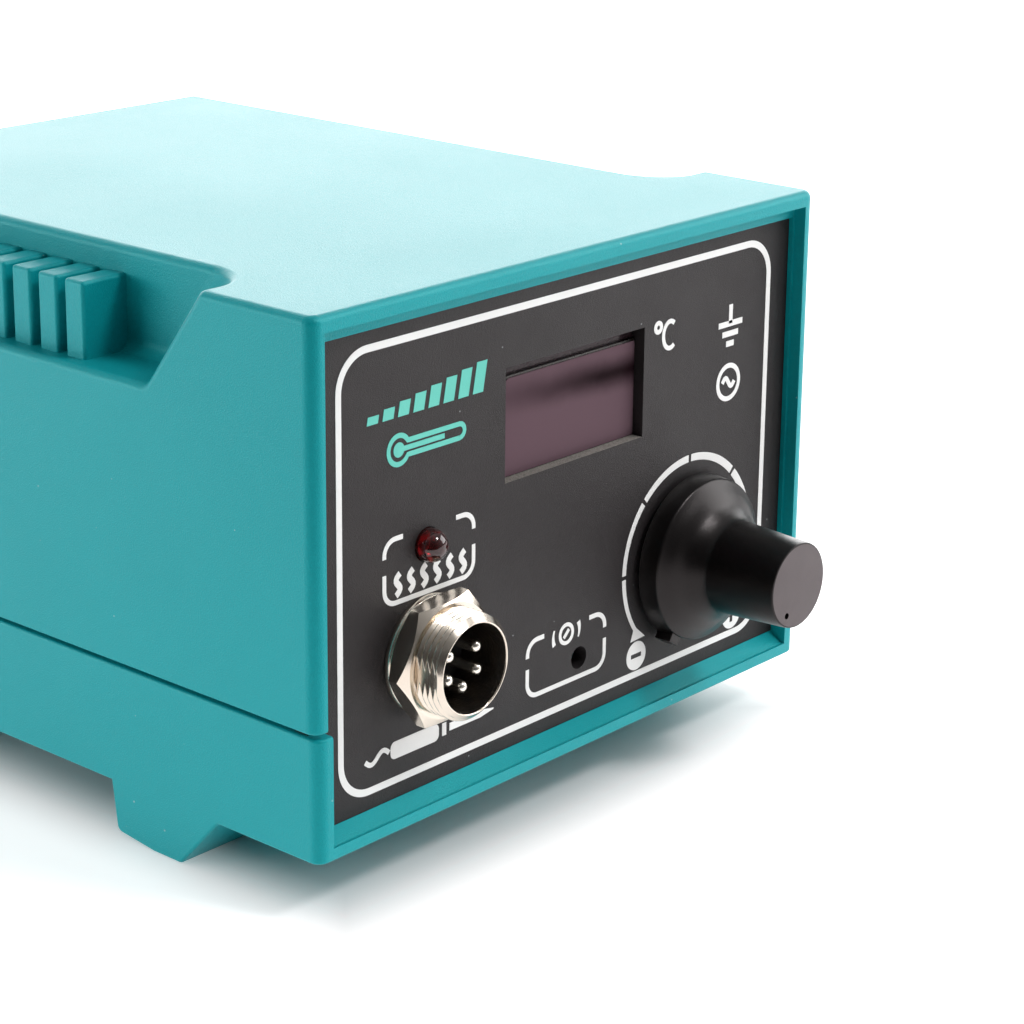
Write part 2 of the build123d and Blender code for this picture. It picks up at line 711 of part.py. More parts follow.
def make_inlet_screws():
    one = Rot(-90, 0, 0) * bolt(2.9, 2.0, 1.5, 9.5)
    return [Pos(INLET_AT[0] + x, Y_REAR + 3, INLET_AT[1]) * one for x in (-20, 20)]


def make_inlet_nuts():
    one = Rot(90, 0, 0) * hex_nut(5.5, 2.4, 1.55)
    return [Pos(INLET_AT[0] + x, Y_REAR - PANEL_T, INLET_AT[1]) * one for x in (-20, 20)]


def make_fuse_drawer():
    drawer = inlet_block(-6.0, 6.0, -21.5, 2, -12.9, -6.9)
    face = inlet_block(-7.7, 7.7, 1.9, 4.0, -13.7, -6.1)
    drawer += fillet(face.edges().filter_by(Axis.Y), 0.8)
    x, z = INLET_AT
    drawer -= inlet_block(-2.8, 2.8, -20.5, 0, -9.7, -6)
    drawer -= rod_y(2.6, Y_REAR - 20.5, Y_REAR, x, z - 9.7)
    return drawer - inlet_block(-3.5, 3.5, 2.9, 5, -8.2, -5)


def make_fuse():
    x, z = INLET_AT
    glass = rod_y(2.3, Y_REAR - 20.2, Y_REAR - 0.3, x, z - 9.7)
    for y0 in (-20.2, -5.3):
        glass += rod_y(2.5, Y_REAR + y0, Y_REAR + y0 + 5.0, x, z - 9.7)
    return glass


# Power switch
def switch_block(x0, x1, y0, y1, z0, z1):
    x, z = SWITCH_AT
    return block(x + x0, x + x1, Y_REAR + y0, Y_REAR + y1, z + z0, z + z1)


def make_switch_housing():
    rim = switch_block(-7.5, 7.5, 0, 2, -10.5, 10.5)
    rim = fillet(rim.edges().filter_by(Axis.Y), 1.2)
    body = rim + switch_block(-6.5, 6.5, -14, 1, -9.5, 9.5)
    body -= switch_block(-5.0, 5.0, -9, 3, -8.4, 8.4)
    x, z = SWITCH_AT
    body -= rod_x(1.06, x - 6.0, x + 6.0, Y_REAR + ROCKER_PIVOT, z)
    for side in (-1, 1):
        body -= switch_block(-2.1, 2.1, -15, -8, side * 4.0 - 0.45, side * 4.0 + 0.45)
    return body


def make_switch_rocker():
    outline = [(4.4, 7.2), (3.0, 0.0), (4.4, -7.2), (0.0, -6.4), (-2.6, -3.0), (-2.6, 3.0), (0.0, 6.4)]
    rocker = side_prism(outline, -4.6, 4.6) + rod_x(1.0, -5.7, 5.7, 0, 0)
    x, z = SWITCH_AT
    return Pos(x, Y_REAR + ROCKER_PIVOT, z) * Rot(-ROCKER_TILT, 0, 0) * rocker


def make_switch_terminals():
    tabs = []
    for side in (-1, 1):
        tabs.append(switch_block(-2.0, 2.0, -22, -9.2, side * 4.0 - 0.4, side * 4.0 + 0.4))
    return tabs


# Wires inside
def make_mains_wires():
    ix, iz = INLET_AT
    sx, sz = SWITCH_AT
    inlet_end, switch_end = Y_REAR - 32, Y_REAR - 22
    coil_back = front(CORE_Y) + CORE_STACK / 2 + 8.2
    live = [(ix + 7, inlet_end, iz + 3.2), (ix + 7, inlet_end - 6, iz + 3.2), (ix + 7, inlet_end - 6, iz + 26),
            (sx, inlet_end - 6, iz + 26), (sx, inlet_end - 6, sz + 4), (sx, switch_end, sz + 4)]
    switched = [(sx, switch_end, sz - 4), (sx, coil_back + 5, sz - 4), (12, coil_back + 5, sz - 4),
                (12, coil_back, sz - 4)]
    neutral = [(ix - 7, inlet_end, iz + 3.2), (ix - 7, coil_back + 5, iz + 3.2), (-12, coil_back + 5, iz + 3.2),
               (-12, coil_back, iz + 3.2)]
    return [wire(live, 0.9, 2.8), wire(switched, 0.9, 2.2), wire(neutral, 0.9, 1.5)]


def make_supply_wires():
    coil_front = front(CORE_Y) - CORE_STACK / 2 - 8.2
    base = front(BOARD_BACK)
    runs = []
    for x, start_x in ((-40.0, -14.0), (-32.0, -8.0)):
        points = [(start_x, coil_front, 40.0), (start_x, coil_front - 6, 40.0), (start_x, coil_front - 6, 64.0),
                  (x, coil_front - 6, 64.0), (x, base + 5.2, 64.0)]
        runs.append(wire(points, 0.9, 2.5))
    return runs


def make_iron_wires():
    base = front(BOARD_BACK)
    runs = []
    for k, (x, z) in enumerate(pin_places()):
        out = front(25.0)
        land = (-20.0 + 3.0 * k, 26.0 + 1.5 * k)
        points = [(x, front(19.0), z), (x, out, z), (land[0], out, land[1]), (land[0], base, land[1])]
        runs.append(wire(points, 0.6, 1.6))
    return runs


# Every piece by its name
PIECES = {
    "bottom_case": make_bottom_case,
    "top_cover": make_top_cover,
    "front_panel": make_front_panel,
    "rear_panel": make_rear_panel,
    "case_screws": make_case_screws,
    "board_spacers": make_board_spacers,
    "display_window": make_display_window,
    "display_module": make_display_module,
    "heating_lamp": make_heating_lamp,
    "socket_shell": make_socket_shell,
    "socket_washer": make_socket_washer,
    "socket_nut": make_socket_nut,
    "socket_insulator": make_socket_insulator,
    "socket_pins": make_socket_pins,
    "pot_body": make_pot_body,
    "pot_shaft": make_pot_shaft,
    "pot_washer": make_pot_washer,
    "pot_nut": make_pot_nut,
    "pot_terminals": make_pot_terminals,
    "temperature_knob": make_temperature_knob,
    "control_board": make_control_board,
    "board_screws": make_board_screws,
    "trimmer_body": make_trimmer_body,
    "trimmer_rotor": make_trimmer_rotor,
    "control_chip": lambda: chip(2.0, 46.0, 36.0, 7.0, 14),
    "amplifier_chip": lambda: chip(-16.0, 60.0, 10.0, 6.4, 4),
    "filter_capacitors": make_filter_capacitors,
    "triac": make_triac,
    "heat_sink": make_heat_sink,
    "heat_sink_screw": make_heat_sink_screw,
    "supply_terminal": make_supply_terminal,
    "transformer_core": make_transformer_core,
    "transformer_bobbin": make_transformer_bobbin,
    "transformer_windings": make_transformer_windings,
    "transformer_bracket": make_transformer_bracket,
    "transformer_screws": make_transformer_screws,
    "mains_inlet": make_mains_inlet,
    "inlet_pins": make_inlet_pins,
    "inlet_screws": make_inlet_screws,
    "inlet_nuts": make_inlet_nuts,
    "fuse_drawer": make_fuse_drawer,
    "fuse": make_fuse,
    "switch_housing": make_switch_housing,
    "switch_rocker": make_switch_rocker,
    "switch_terminals": make_switch_terminals,
    "mains_wires": make_mains_wires,
    "supply_wires": make_supply_wires,
    "iron_wires": make_iron_wires,
}

os.makedirs("parts", exist_ok=True)
for name, make in PIECES.items():
    made = make()
    if isinstance(made, list):
        made = Compound(children=made)
    export_step(made, f"parts/{name}.step")
    print(name, round(made.volume, 1))
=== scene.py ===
import json
from math import cos, degrees, pi, radians, sin, tan

import bmesh
import bpy
from mathutils import Matrix, Quaternion, Vector


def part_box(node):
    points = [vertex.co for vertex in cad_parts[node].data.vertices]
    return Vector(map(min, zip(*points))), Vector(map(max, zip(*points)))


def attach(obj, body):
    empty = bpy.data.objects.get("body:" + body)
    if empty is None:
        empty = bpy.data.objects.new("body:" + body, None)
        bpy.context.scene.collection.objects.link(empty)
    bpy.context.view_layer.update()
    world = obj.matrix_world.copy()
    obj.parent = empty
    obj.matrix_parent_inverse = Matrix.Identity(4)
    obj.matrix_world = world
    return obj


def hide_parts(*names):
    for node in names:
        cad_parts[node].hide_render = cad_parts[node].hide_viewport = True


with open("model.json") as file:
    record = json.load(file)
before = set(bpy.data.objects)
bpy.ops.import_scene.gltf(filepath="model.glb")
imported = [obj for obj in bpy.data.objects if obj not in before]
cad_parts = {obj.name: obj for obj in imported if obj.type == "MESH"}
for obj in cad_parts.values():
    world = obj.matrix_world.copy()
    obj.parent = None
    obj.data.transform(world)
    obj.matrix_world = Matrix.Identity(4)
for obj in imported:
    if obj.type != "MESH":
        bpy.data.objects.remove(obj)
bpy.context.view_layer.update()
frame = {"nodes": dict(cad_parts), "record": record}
nodes = frame["nodes"]
mm = 0.001
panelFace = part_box("front_panel")[0].y


def middleOf(node):
    low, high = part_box(node)
    return (low + high) / 2


knobAxis = middleOf("pot_shaft")
socketAxis = middleOf("socket_washer")
lampAxis = middleOf("heating_lamp")
print("frame loaded,", len(nodes), "nodes")


# Node helpers
def addNode(tree, kind, **settings):
    node = tree.nodes.new(kind)
    for key, value in settings.items():
        setattr(node, key, value)
    return node


def join(tree, value, socket):
    if isinstance(value, bpy.types.NodeSocket):
        tree.links.new(value, socket)
    else:
        socket.default_value = value


def feed(tree, node, **values):
    for key, value in values.items():
        join(tree, value, node.inputs[key.replace("_", " ")])
    return node


def calc(tree, operation, *values):
    node = addNode(tree, "ShaderNodeMath", operation=operation)
    for socket, value in zip(node.inputs, values):
        join(tree, value, socket)
    return node.outputs[0]


def mapRange(tree, value, start, end, first=0.0, last=1.0, smooth=False):
    node = addNode(tree, "ShaderNodeMapRange", interpolation_type="SMOOTHSTEP" if smooth else "LINEAR")
    feed(tree, node, Value=value, From_Min=start, From_Max=end, To_Min=first, To_Max=last)
    return node.outputs[0]


def placeXYZ(tree):
    split = addNode(tree, "ShaderNodeSeparateXYZ")
    tree.links.new(addNode(tree, "ShaderNodeTexCoord").outputs["Object"], split.inputs[0])
    return split


def newGroup(name, kind, inputs, outputs):
    tree = bpy.data.node_groups.new(name, kind)
    for label, socketType, value in inputs:
        socket = tree.interface.new_socket(label, in_out="INPUT", socket_type="NodeSocket" + socketType)
        if value is not None:
            socket.default_value = value
    for label, socketType in outputs:
        tree.interface.new_socket(label, in_out="OUTPUT", socket_type="NodeSocket" + socketType)
    return tree, tree.nodes.new("NodeGroupInput"), tree.nodes.new("NodeGroupOutput")


# Shader groups that several finishes share
grainShape = {"detail": 3.0, "rough": 0.6, "cells": 1.3, "pebble": 0.5, "speck": (0.35, 0.68)}
toneShape = {"detail": 4.0, "rough": 0.55, "spread": (0.3, 0.7)}
scratchShape = {"detail": 2.0, "rough": 0.5}


def objectPoint(tree, size):
    place = addNode(tree, "ShaderNodeTexCoord")
    scaled = addNode(tree, "ShaderNodeVectorMath", operation="SCALE")
    tree.links.new(place.outputs["Object"], scaled.inputs[0])
    feed(tree, scaled, Scale=calc(tree, "DIVIDE", 1.0, size))
    return scaled.outputs[0]


def noiseAt(tree, point, shape):
    noise = addNode(tree, "ShaderNodeTexNoise")
    feed(tree, noise, Vector=point, Scale=1.0, Detail=shape["detail"], Roughness=shape["rough"])
    return noise.outputs[0]


def cellsAt(tree, point, scale):
    return feed(tree, addNode(tree, "ShaderNodeTexVoronoi", feature="F1"), Vector=point, Scale=scale)


def makeGrainGroup():
    tree, given, made = newGroup("mouldedGrain", "ShaderNodeTree", [("Size", "Float", 0.0004)],
                                 [("Height", "Float"), ("Speck", "Float")])
    point = objectPoint(tree, given.outputs["Size"])
    noise = noiseAt(tree, point, grainShape)
    cells = cellsAt(tree, point, grainShape["cells"])
    pebbles = calc(tree, "MULTIPLY", cells.outputs["Distance"], grainShape["pebble"])
    feed(tree, made, Height=calc(tree, "ADD", noise, pebbles),
         Speck=mapRange(tree, noise, *grainShape["speck"]))
    return tree


def makeToneGroup():
    tree, given, made = newGroup("softTone", "ShaderNodeTree",
                                 [("Size", "Float", 0.02), ("Low", "Float", 0.0), ("High", "Float", 1.0)],
                                 [("Value", "Float")])
    noise = noiseAt(tree, objectPoint(tree, given.outputs["Size"]), toneShape)
    spread = mapRange(tree, noise, *toneShape["spread"], given.outputs["Low"], given.outputs["High"])
    feed(tree, made, Value=spread)
    return tree


def makeScratchGroup():
    tree, given, made = newGroup("fineScratches", "ShaderNodeTree",
                                 [("Size", "Float", 0.0005), ("Stretch", "Float", 12.0)],
                                 [("Height", "Float")])
    squeeze = addNode(tree, "ShaderNodeVectorMath", operation="MULTIPLY")
    tree.links.new(objectPoint(tree, given.outputs["Size"]), squeeze.inputs[0])
    ratio = addNode(tree, "ShaderNodeCombineXYZ")
    feed(tree, ratio, X=1.0, Y=1.0, Z=calc(tree, "DIVIDE", 1.0, given.outputs["Stretch"]))
    tree.links.new(ratio.outputs[0], squeeze.inputs[1])
    feed(tree, made, Height=noiseAt(tree, squeeze.outputs[0], scratchShape))
    return tree


def makeDustGroup():
    tree, given, made = newGroup("dustSpecks", "ShaderNodeTree",
                                 [("Size", "Float", 0.004), ("Share", "Float", 0.3), ("Spot", "Float", 0.06)],
                                 [("Mask", "Float")])
    cells = cellsAt(tree, objectPoint(tree, given.outputs["Size"]), 1.0)
    chance = addNode(tree, "ShaderNodeSeparateColor")
    tree.links.new(cells.outputs["Color"], chance.inputs[0])
    chosen = calc(tree, "LESS_THAN", chance.outputs[0], given.outputs["Share"])
    radius = calc(tree, "MULTIPLY", chance.outputs[1], given.outputs["Spot"])
    inside = calc(tree, "LESS_THAN", cells.outputs["Distance"], radius)
    feed(tree, made, Mask=calc(tree, "MULTIPLY", chosen, inside))
    return tree


grainGroup = makeGrainGroup()
dustGroup = makeDustGroup()
toneGroup = makeToneGroup()
scratchGroup = makeScratchGroup()


def placeGroup(tree, group, **values):
    return feed(tree, addNode(tree, "ShaderNodeGroup", node_tree=group), **values)


def newFinish(name, **fixed):
    finish = bpy.data.materials.new(name)
    finish.use_nodes = True
    tree = finish.node_tree
    shader = feed(tree, tree.nodes["Principled BSDF"], **fixed)
    return finish, tree, shader


def mixColour(tree, factor, first, second, blend="MIX"):
    mix = addNode(tree, "ShaderNodeMix", data_type="RGBA", blend_type=blend)
    tree.links.new(factor, mix.inputs[0])
    for place, colour in ((6, first), (7, second)):  # the node's two colour sockets
        join(tree, colour if isinstance(colour, bpy.types.NodeSocket) else (*colour, 1), mix.inputs[place])
    return mix.outputs[2]


# What a look leaves out, with the sizes in mm of its uneven patches of colour and polish
plainLooks = {"plastic": {"gloss": 0.5, "sheen": (1, 1, 1), "fleck": 0.2, "fleckTone": 0.6, "cloud": 25,
                          "smudge": 8},
              "metal": {"cloud": 6, "smudge": 2},
              "clear": {"gloss": 0.5, "coat": 0.0, "cloud": 4, "smudge": 5}}
dustLook = {"cell": 3.2, "spot": 0.055, "strength": 0.4, "colour": (0.55, 0.6, 0.6)}
scratchLook = {"line": 0.25, "stretch": 10.0, "depth": 0.02}


def patched(tree, look):
    tone = placeGroup(tree, toneGroup, Size=look["cloud"] * mm)
    low, high = look["rough"]
    polish = placeGroup(tree, toneGroup, Size=look["smudge"] * mm, Low=low, High=high)
    return mixColour(tree, tone.outputs["Value"], look["colour"], look["tint"]), polish.outputs["Value"]


def bumped(tree, strength, distance, height):
    bump = addNode(tree, "ShaderNodeBump")
    return feed(tree, bump, Strength=strength, Distance=distance, Height=height).outputs[0]


def plasticFinish(name, look):
    look = {**plainLooks["plastic"], **look}
    finish, tree, shader = newFinish(name, Specular_IOR_Level=look["gloss"],
                                     Specular_Tint=(*look["sheen"], 1))
    grain = placeGroup(tree, grainGroup, Size=look["grain"] * mm)
    colour, polish = patched(tree, look)
    fleck = calc(tree, "MULTIPLY", grain.outputs["Speck"], look["fleck"])
    colour = mixColour(tree, fleck, colour, [look["fleckTone"]] * 3, "MULTIPLY")
    if "dust" in look:
        dust = placeGroup(tree, dustGroup, Size=dustLook["cell"] * mm, Share=look["dust"],
                          Spot=dustLook["spot"])
        speckled = calc(tree, "MULTIPLY", dust.outputs["Mask"], dustLook["strength"])
        colour = mixColour(tree, speckled, colour, dustLook["colour"])
    normal = bumped(tree, look["bump"], look["grain"] * mm / 2, grain.outputs["Height"])
    feed(tree, shader, Base_Color=colour, Roughness=polish, Normal=normal)
    return finish


def metalFinish(name, look):
    look = {**plainLooks["metal"], **look}
    finish, tree, shader = newFinish(name, Metallic=1.0)
    colour, polish = patched(tree, look)
    lines = placeGroup(tree, scratchGroup, Size=scratchLook["line"] * mm, Stretch=scratchLook["stretch"])
    normal = bumped(tree, look["bump"], scratchLook["depth"] * mm, lines.outputs["Height"])
    feed(tree, shader, Base_Color=colour, Roughness=polish, Normal=normal)
    return finish


def clearFinish(name, look):
    look = {**plainLooks["clear"], **look}
    finish, tree, shader = newFinish(name, Transmission_Weight=look["clear"], IOR=look["ior"],
                                     Coat_Weight=look["coat"], Specular_IOR_Level=look["gloss"])
    colour, polish = patched(tree, look)
    feed(tree, shader, Base_Color=colour, Roughness=polish)
    return finish


wireLook = {"grain": 0.3, "bump": 0.08, "rough": (0.4, 0.5)}
plasticLooks = {
    "case_plastic": {"colour": (0.003, 0.318, 0.355), "tint": (0.004, 0.332, 0.370), "grain": 0.26,
                     "bump": 0.42, "rough": (0.385, 0.415), "fleck": 0.3, "smudge": 40,
                     "sheen": (0.27, 1.0, 1.0), "dust": 0.5},
    "panel_plastic": {"colour": (0.0185, 0.0150, 0.0158), "tint": (0.0225, 0.0187, 0.0197), "grain": 0.2,
                      "bump": 0.7, "rough": (0.46, 0.54), "fleck": 0.5, "fleckTone": 0.45, "gloss": 0.32,
                      "dust": 0.35},
    "knob_plastic": {"colour": (0.0016, 0.0011, 0.0012), "tint": (0.0028, 0.0021, 0.0022), "grain": 0.2,
                     "bump": 0.2, "rough": (0.27, 0.33), "gloss": 0.31, "sheen": (1.0, 0.92, 0.92),
                     "dust": 0.2},
    "black_insulator": {"colour": (0.010, 0.010, 0.010), "tint": (0.016, 0.015, 0.014), "grain": 0.18,
                        "bump": 0.2, "rough": (0.45, 0.6)},
    "display_plastic": {"colour": (0.012, 0.011, 0.012), "tint": (0.016, 0.015, 0.016), "grain": 0.2,
                        "bump": 0.06, "rough": (0.18, 0.28)},
    "circuit_board": {"colour": (0.012, 0.10, 0.035), "tint": (0.018, 0.13, 0.045), "grain": 0.5,
                      "bump": 0.1, "rough": (0.25, 0.4), "cloud": 4},
    "trimmer_blue": {"colour": (0.02, 0.06, 0.32), "tint": (0.025, 0.075, 0.36), "grain": 0.2,
                     "bump": 0.1, "rough": (0.35, 0.5)},
    "trimmer_white": {"colour": (0.72, 0.71, 0.66), "tint": (0.78, 0.77, 0.72), "grain": 0.2,
                      "bump": 0.1, "rough": (0.35, 0.5)},
    "capacitor_sleeve": {"colour": (0.015, 0.02, 0.06), "tint": (0.02, 0.028, 0.075), "grain": 0.3,
                         "bump": 0.05, "rough": (0.15, 0.3)},
    "terminal_green": {"colour": (0.02, 0.2, 0.06), "tint": (0.03, 0.24, 0.08), "grain": 0.25,
                       "bump": 0.12, "rough": (0.4, 0.5)},
    "core_steel": {"colour": (0.045, 0.045, 0.05), "tint": (0.07, 0.068, 0.07), "grain": 0.35,
                   "bump": 0.3, "rough": (0.35, 0.55), "cloud": 5},
    "bobbin_plastic": {"colour": (0.68, 0.65, 0.55), "tint": (0.74, 0.71, 0.61), "grain": 0.3,
                       "bump": 0.12, "rough": (0.4, 0.55)},
    "inlet_plastic": {"colour": (0.014, 0.014, 0.014), "tint": (0.02, 0.02, 0.02), "grain": 0.25,
                      "bump": 0.18, "rough": (0.38, 0.5)},
    "rocker_plastic": {"colour": (0.014, 0.013, 0.013), "tint": (0.02, 0.019, 0.019), "grain": 0.25,
                       "bump": 0.08, "rough": (0.25, 0.35)},
    "wire_brown": {"colour": (0.10, 0.035, 0.014), "tint": (0.13, 0.045, 0.018), **wireLook},
    "wire_yellow": {"colour": (0.62, 0.42, 0.02), "tint": (0.68, 0.47, 0.03), **wireLook},
    "wire_grey": {"colour": (0.2, 0.2, 0.2), "tint": (0.24, 0.24, 0.24), **wireLook},
}
metalLooks = {
    "nickel": {"colour": (0.70, 0.62, 0.53), "tint": (0.77, 0.70, 0.61), "rough": (0.14, 0.26), "bump": 0.06},
    "plated_pin": {"colour": (0.84, 0.80, 0.72), "tint": (0.88, 0.85, 0.78), "rough": (0.14, 0.26),
                   "bump": 0.05},
    "zinc_steel": {"colour": (0.58, 0.58, 0.59), "tint": (0.66, 0.65, 0.62), "rough": (0.22, 0.38),
                   "bump": 0.1},
    "aluminium_shaft": {"colour": (0.74, 0.74, 0.75), "tint": (0.8, 0.8, 0.8), "rough": (0.25, 0.35),
                        "bump": 0.15},
    "raw_aluminium": {"colour": (0.7, 0.7, 0.71), "tint": (0.76, 0.76, 0.76), "rough": (0.3, 0.45),
                      "bump": 0.15},
    "copper_winding": {"colour": (0.62, 0.26, 0.10), "tint": (0.7, 0.32, 0.14), "rough": (0.25, 0.4),
                       "bump": 0.3},
}
clearLooks = {
    "tinted_window": {"colour": (0.045, 0.024, 0.031), "tint": (0.06, 0.034, 0.042), "clear": 0.3,
                      "ior": 1.49, "rough": (0.1, 0.2), "gloss": 0.08},
    "red_lamp": {"colour": (0.11, 0.002, 0.003), "tint": (0.14, 0.003, 0.004), "clear": 0.8, "ior": 1.52,
                 "rough": (0.02, 0.06), "coat": 0.3},
    "fuse_glass": {"colour": (0.9, 0.93, 0.93), "tint": (0.94, 0.96, 0.96), "clear": 0.9, "ior": 1.5,
                   "rough": (0.02, 0.06)},
}
# Finishes of single faces and of the printing
paintLook = {"grain": 0.2, "bump": 0.15, "rough": (0.45, 0.55), "fleck": 0.1, "fleckTone": 0.85}
trimLooks = {
    "whiteInk": {"colour": (0.82, 0.82, 0.81), "tint": (0.87, 0.87, 0.86), **paintLook},
    "mintInk": {"colour": (0.10, 0.56, 0.47), "tint": (0.12, 0.60, 0.50), **paintLook},
    "knobFace": {"colour": (0.080, 0.062, 0.066), "tint": (0.090, 0.070, 0.074), "grain": 0.2, "bump": 0.12,
                 "rough": (0.4, 0.5), "cloud": 5},
    "boreDark": {"colour": (0.008, 0.007, 0.006), "tint": (0.02, 0.014, 0.009), "grain": 0.5, "bump": 0.5,
                 "rough": (0.25, 0.45), "cloud": 1.5},
    # Sill finish: a cut edge's grain, with painted light from above in its lighter colour
    "cutEdgeLitPaint": {"colour": (0.30, 0.28, 0.25), "tint": (0.38, 0.35, 0.32), "grain": 0.25, "bump": 1.0,
                "rough": (0.45, 0.6), "fleck": 0.9, "fleckTone": 0.25},
}
finishes = {name: plasticFinish(name, look) for name, look in plasticLooks.items()}
finishes.update({name: metalFinish(name, look) for name, look in metalLooks.items()})
finishes.update({name: clearFinish(name, look) for name, look in clearLooks.items()})
trims = {name: plasticFinish(name, look) for name, look in trimLooks.items()}

# The film's own colour, and the darker colour of the reflection band painted across it
paintedReflectionLook = {"colour": (0.122, 0.076, 0.093), "tint": (0.012, 0.005, 0.007), "gloss": 0.02, "cloud": 9,
            "wander": 0.35, "sink": 0.05, "bandZ": 66.1, "bandHalf": 3.6, "fade": (-13, 9, 0.3),
            "rough": (0.35, 0.45), "smudge": 6}


# Painted reflection: a soft dark band, painted in like a reflected edge, that sinks and deepens to the right
# over the film
def makePaintedReflection():
    finish, tree, shader = newFinish("windowFilm", Specular_IOR_Level=paintedReflectionLook["gloss"])
    place = placeXYZ(tree)
    reach = paintedReflectionLook["wander"] * mm
    wander = placeGroup(tree, toneGroup, Size=paintedReflectionLook["cloud"] * mm, Low=-reach, High=reach)
    level = calc(tree, "MULTIPLY_ADD", place.outputs["X"], paintedReflectionLook["sink"], place.outputs["Z"])
    level = calc(tree, "SUBTRACT", level, paintedReflectionLook["bandZ"] * mm)
    level = calc(tree, "ADD", level, wander.outputs["Value"])
    away = calc(tree, "DIVIDE", calc(tree, "ABSOLUTE", level), paintedReflectionLook["bandHalf"] * mm)
    band = mapRange(tree, away, 0.0, 1.0, 1.0, 0.0, True)
    left, right, start = paintedReflectionLook["fade"]
    deep = mapRange(tree, place.outputs["X"], left * mm, right * mm, start)
    low, high = paintedReflectionLook["rough"]
    polish = placeGroup(tree, toneGroup, Size=paintedReflectionLook["smudge"] * mm, Low=low, High=high)
    colour = mixColour(tree, calc(tree, "MULTIPLY", band, deep), paintedReflectionLook["colour"], paintedReflectionLook["tint"])
    feed(tree, shader, Base_Color=colour, Roughness=polish.outputs["Value"])
    return finish


filmPaintedReflection = makePaintedReflection()
for part in frame["record"]["subparts"]:
    for slot in nodes[part["node"]].material_slots:
        slot.material = finishes[part["material_slot"]]

sillLook = {"z": (50, 60), "halfWidth": 20, "upright": 0.9}


# The sawn lower edge of the window opening: its upward faces get a cut edge's coarse grain, and are painted
# lighter as light falling from above
def paintLitSill():
    mesh = nodes["front_panel"].data
    mesh.materials.append(trims["cutEdgeLitPaint"])
    low, high = (z * mm for z in sillLook["z"])
    for face in mesh.polygons:
        inside = low < face.center.z < high and abs(face.center.x) < sillLook["halfWidth"] * mm
        if inside and face.normal.z > sillLook["upright"]:
            face.material_index = len(mesh.materials) - 1


paintLitSill()
print("finishes made,", len(finishes) + len(trims) + 1)


# Mesh helpers
def placed(name, data):
    thing = bpy.data.objects.new(name, data)
    bpy.context.scene.collection.objects.link(thing)
    return thing


def addPiece(name, mesh, body, slotName, *stoodFor):
    piece = placed(name, mesh)
    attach(piece, body)
    if stoodFor:
        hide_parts(*stoodFor)
    return piece


def meshFrom(name, work, finish, smooth=True):
    bmesh.ops.remove_doubles(work, verts=work.verts, dist=0.001 * mm)
    bmesh.ops.recalc_face_normals(work, faces=work.faces)
    mesh = bpy.data.meshes.new(name)
    work.to_mesh(mesh)
    work.free()
    mesh.materials.append(finish)
    for face in mesh.polygons:
        face.use_smooth = smooth
    return mesh


def evaluated(thing, name):
    bpy.context.view_layer.update()
    depsgraph = bpy.context.evaluated_depsgraph_get()
    mesh = bpy.data.meshes.new_from_object(thing.evaluated_get(depsgraph), depsgraph=depsgraph)
    mesh.name = name
    return mesh


def bakeDown(thing, name):
    mesh = evaluated(thing, name)
    bpy.data.objects.remove(thing)
    return mesh


def runTree(tree, source, values, name):
    holder = placed(name + "Source", source)
    modifier = holder.modifiers.new(name, "NODES")
    modifier.node_group = tree
    for item in tree.interface.items_tree:
        if item.in_out == "INPUT" and item.name in values:
            modifier[item.identifier] = values[item.name]
    mesh = evaluated(holder, name)
    holder.modifiers.remove(modifier)
    bpy.data.objects.remove(holder)
    return mesh


def endTree(tree, made, shape, finish):
    realize = feed(tree, addNode(tree, "GeometryNodeRealizeInstances"), Geometry=shape)
    coat = feed(tree, addNode(tree, "GeometryNodeSetMaterial"), Geometry=realize.outputs[0])
    tree.links.new(finish, coat.inputs["Material"])
    tree.links.new(coat.outputs[0], made.inputs["Geometry"])
    return tree


# A turned form about the y axis from (radius, distance in front) pairs
def lathe(work, profile, steps, closed=False, warp=None):
    rings = []
    for radius, along in profile:
        ring = []
        for step in range(steps):
            turn = 2 * pi * step / steps
            reach, out = warp(radius, along, turn) if warp else (radius, along)
            ring.append(work.verts.new((reach * cos(turn) * mm, -out * mm, reach * sin(turn) * mm)))
        rings.append(ring)
    pairs = list(zip(rings, rings[1:]))
    if closed:
        pairs.append((rings[-1], rings[0]))
    for low, high in pairs:
        for step in range(steps):
            after = (step + 1) % steps
            work.faces.new((low[step], low[after], high[after], high[step]))


def arc(centre, radius, start, end, count):
    turns = [radians(start + (end - start) * k / count) for k in range(count + 1)]
    return [(centre[0] + radius * cos(turn), centre[1] + radius * sin(turn)) for turn in turns]


def circle(centre, radius, count):
    return arc(centre, radius, 0, 360 - 360 / count, count - 1)


def plainBox(left, right, low, high):
    return [(left, low), (right, low), (right, high), (left, high)]


# The upper left corner may be rounder than the others
def roundedBox(left, right, low, high, corner, count, others=None):
    rest = others or corner
    bends = [((right - rest, high - rest), rest, 0), ((left + corner, high - corner), corner, 90),
             ((left + rest, low + rest), rest, 180), ((right - rest, low + rest), rest, 270)]
    return [point for centre, bend, start in bends for point in arc(centre, bend, start, start + 90, count)]


# A smooth curve through the points, with the given slopes at its ends
def smoothRun(points, first, last, count):
    inner = [((after[0] - before[0]) / 2, (after[1] - before[1]) / 2)
             for before, after in zip(points, points[2:])]
    slopes = [first] + inner + [last]
    run = []
    for k in range(len(points) - 1):
        ends = (points[k], slopes[k], points[k + 1], slopes[k + 1])
        for step in range(count):
            t = step / count
            weights = (2 * t**3 - 3 * t**2 + 1, t**3 - 2 * t**2 + t, 3 * t**2 - 2 * t**3, t**3 - t**2)
            run.append(tuple(sum(weight * end[i] for weight, end in zip(weights, ends)) for i in (0, 1)))
    return run + [points[-1]]


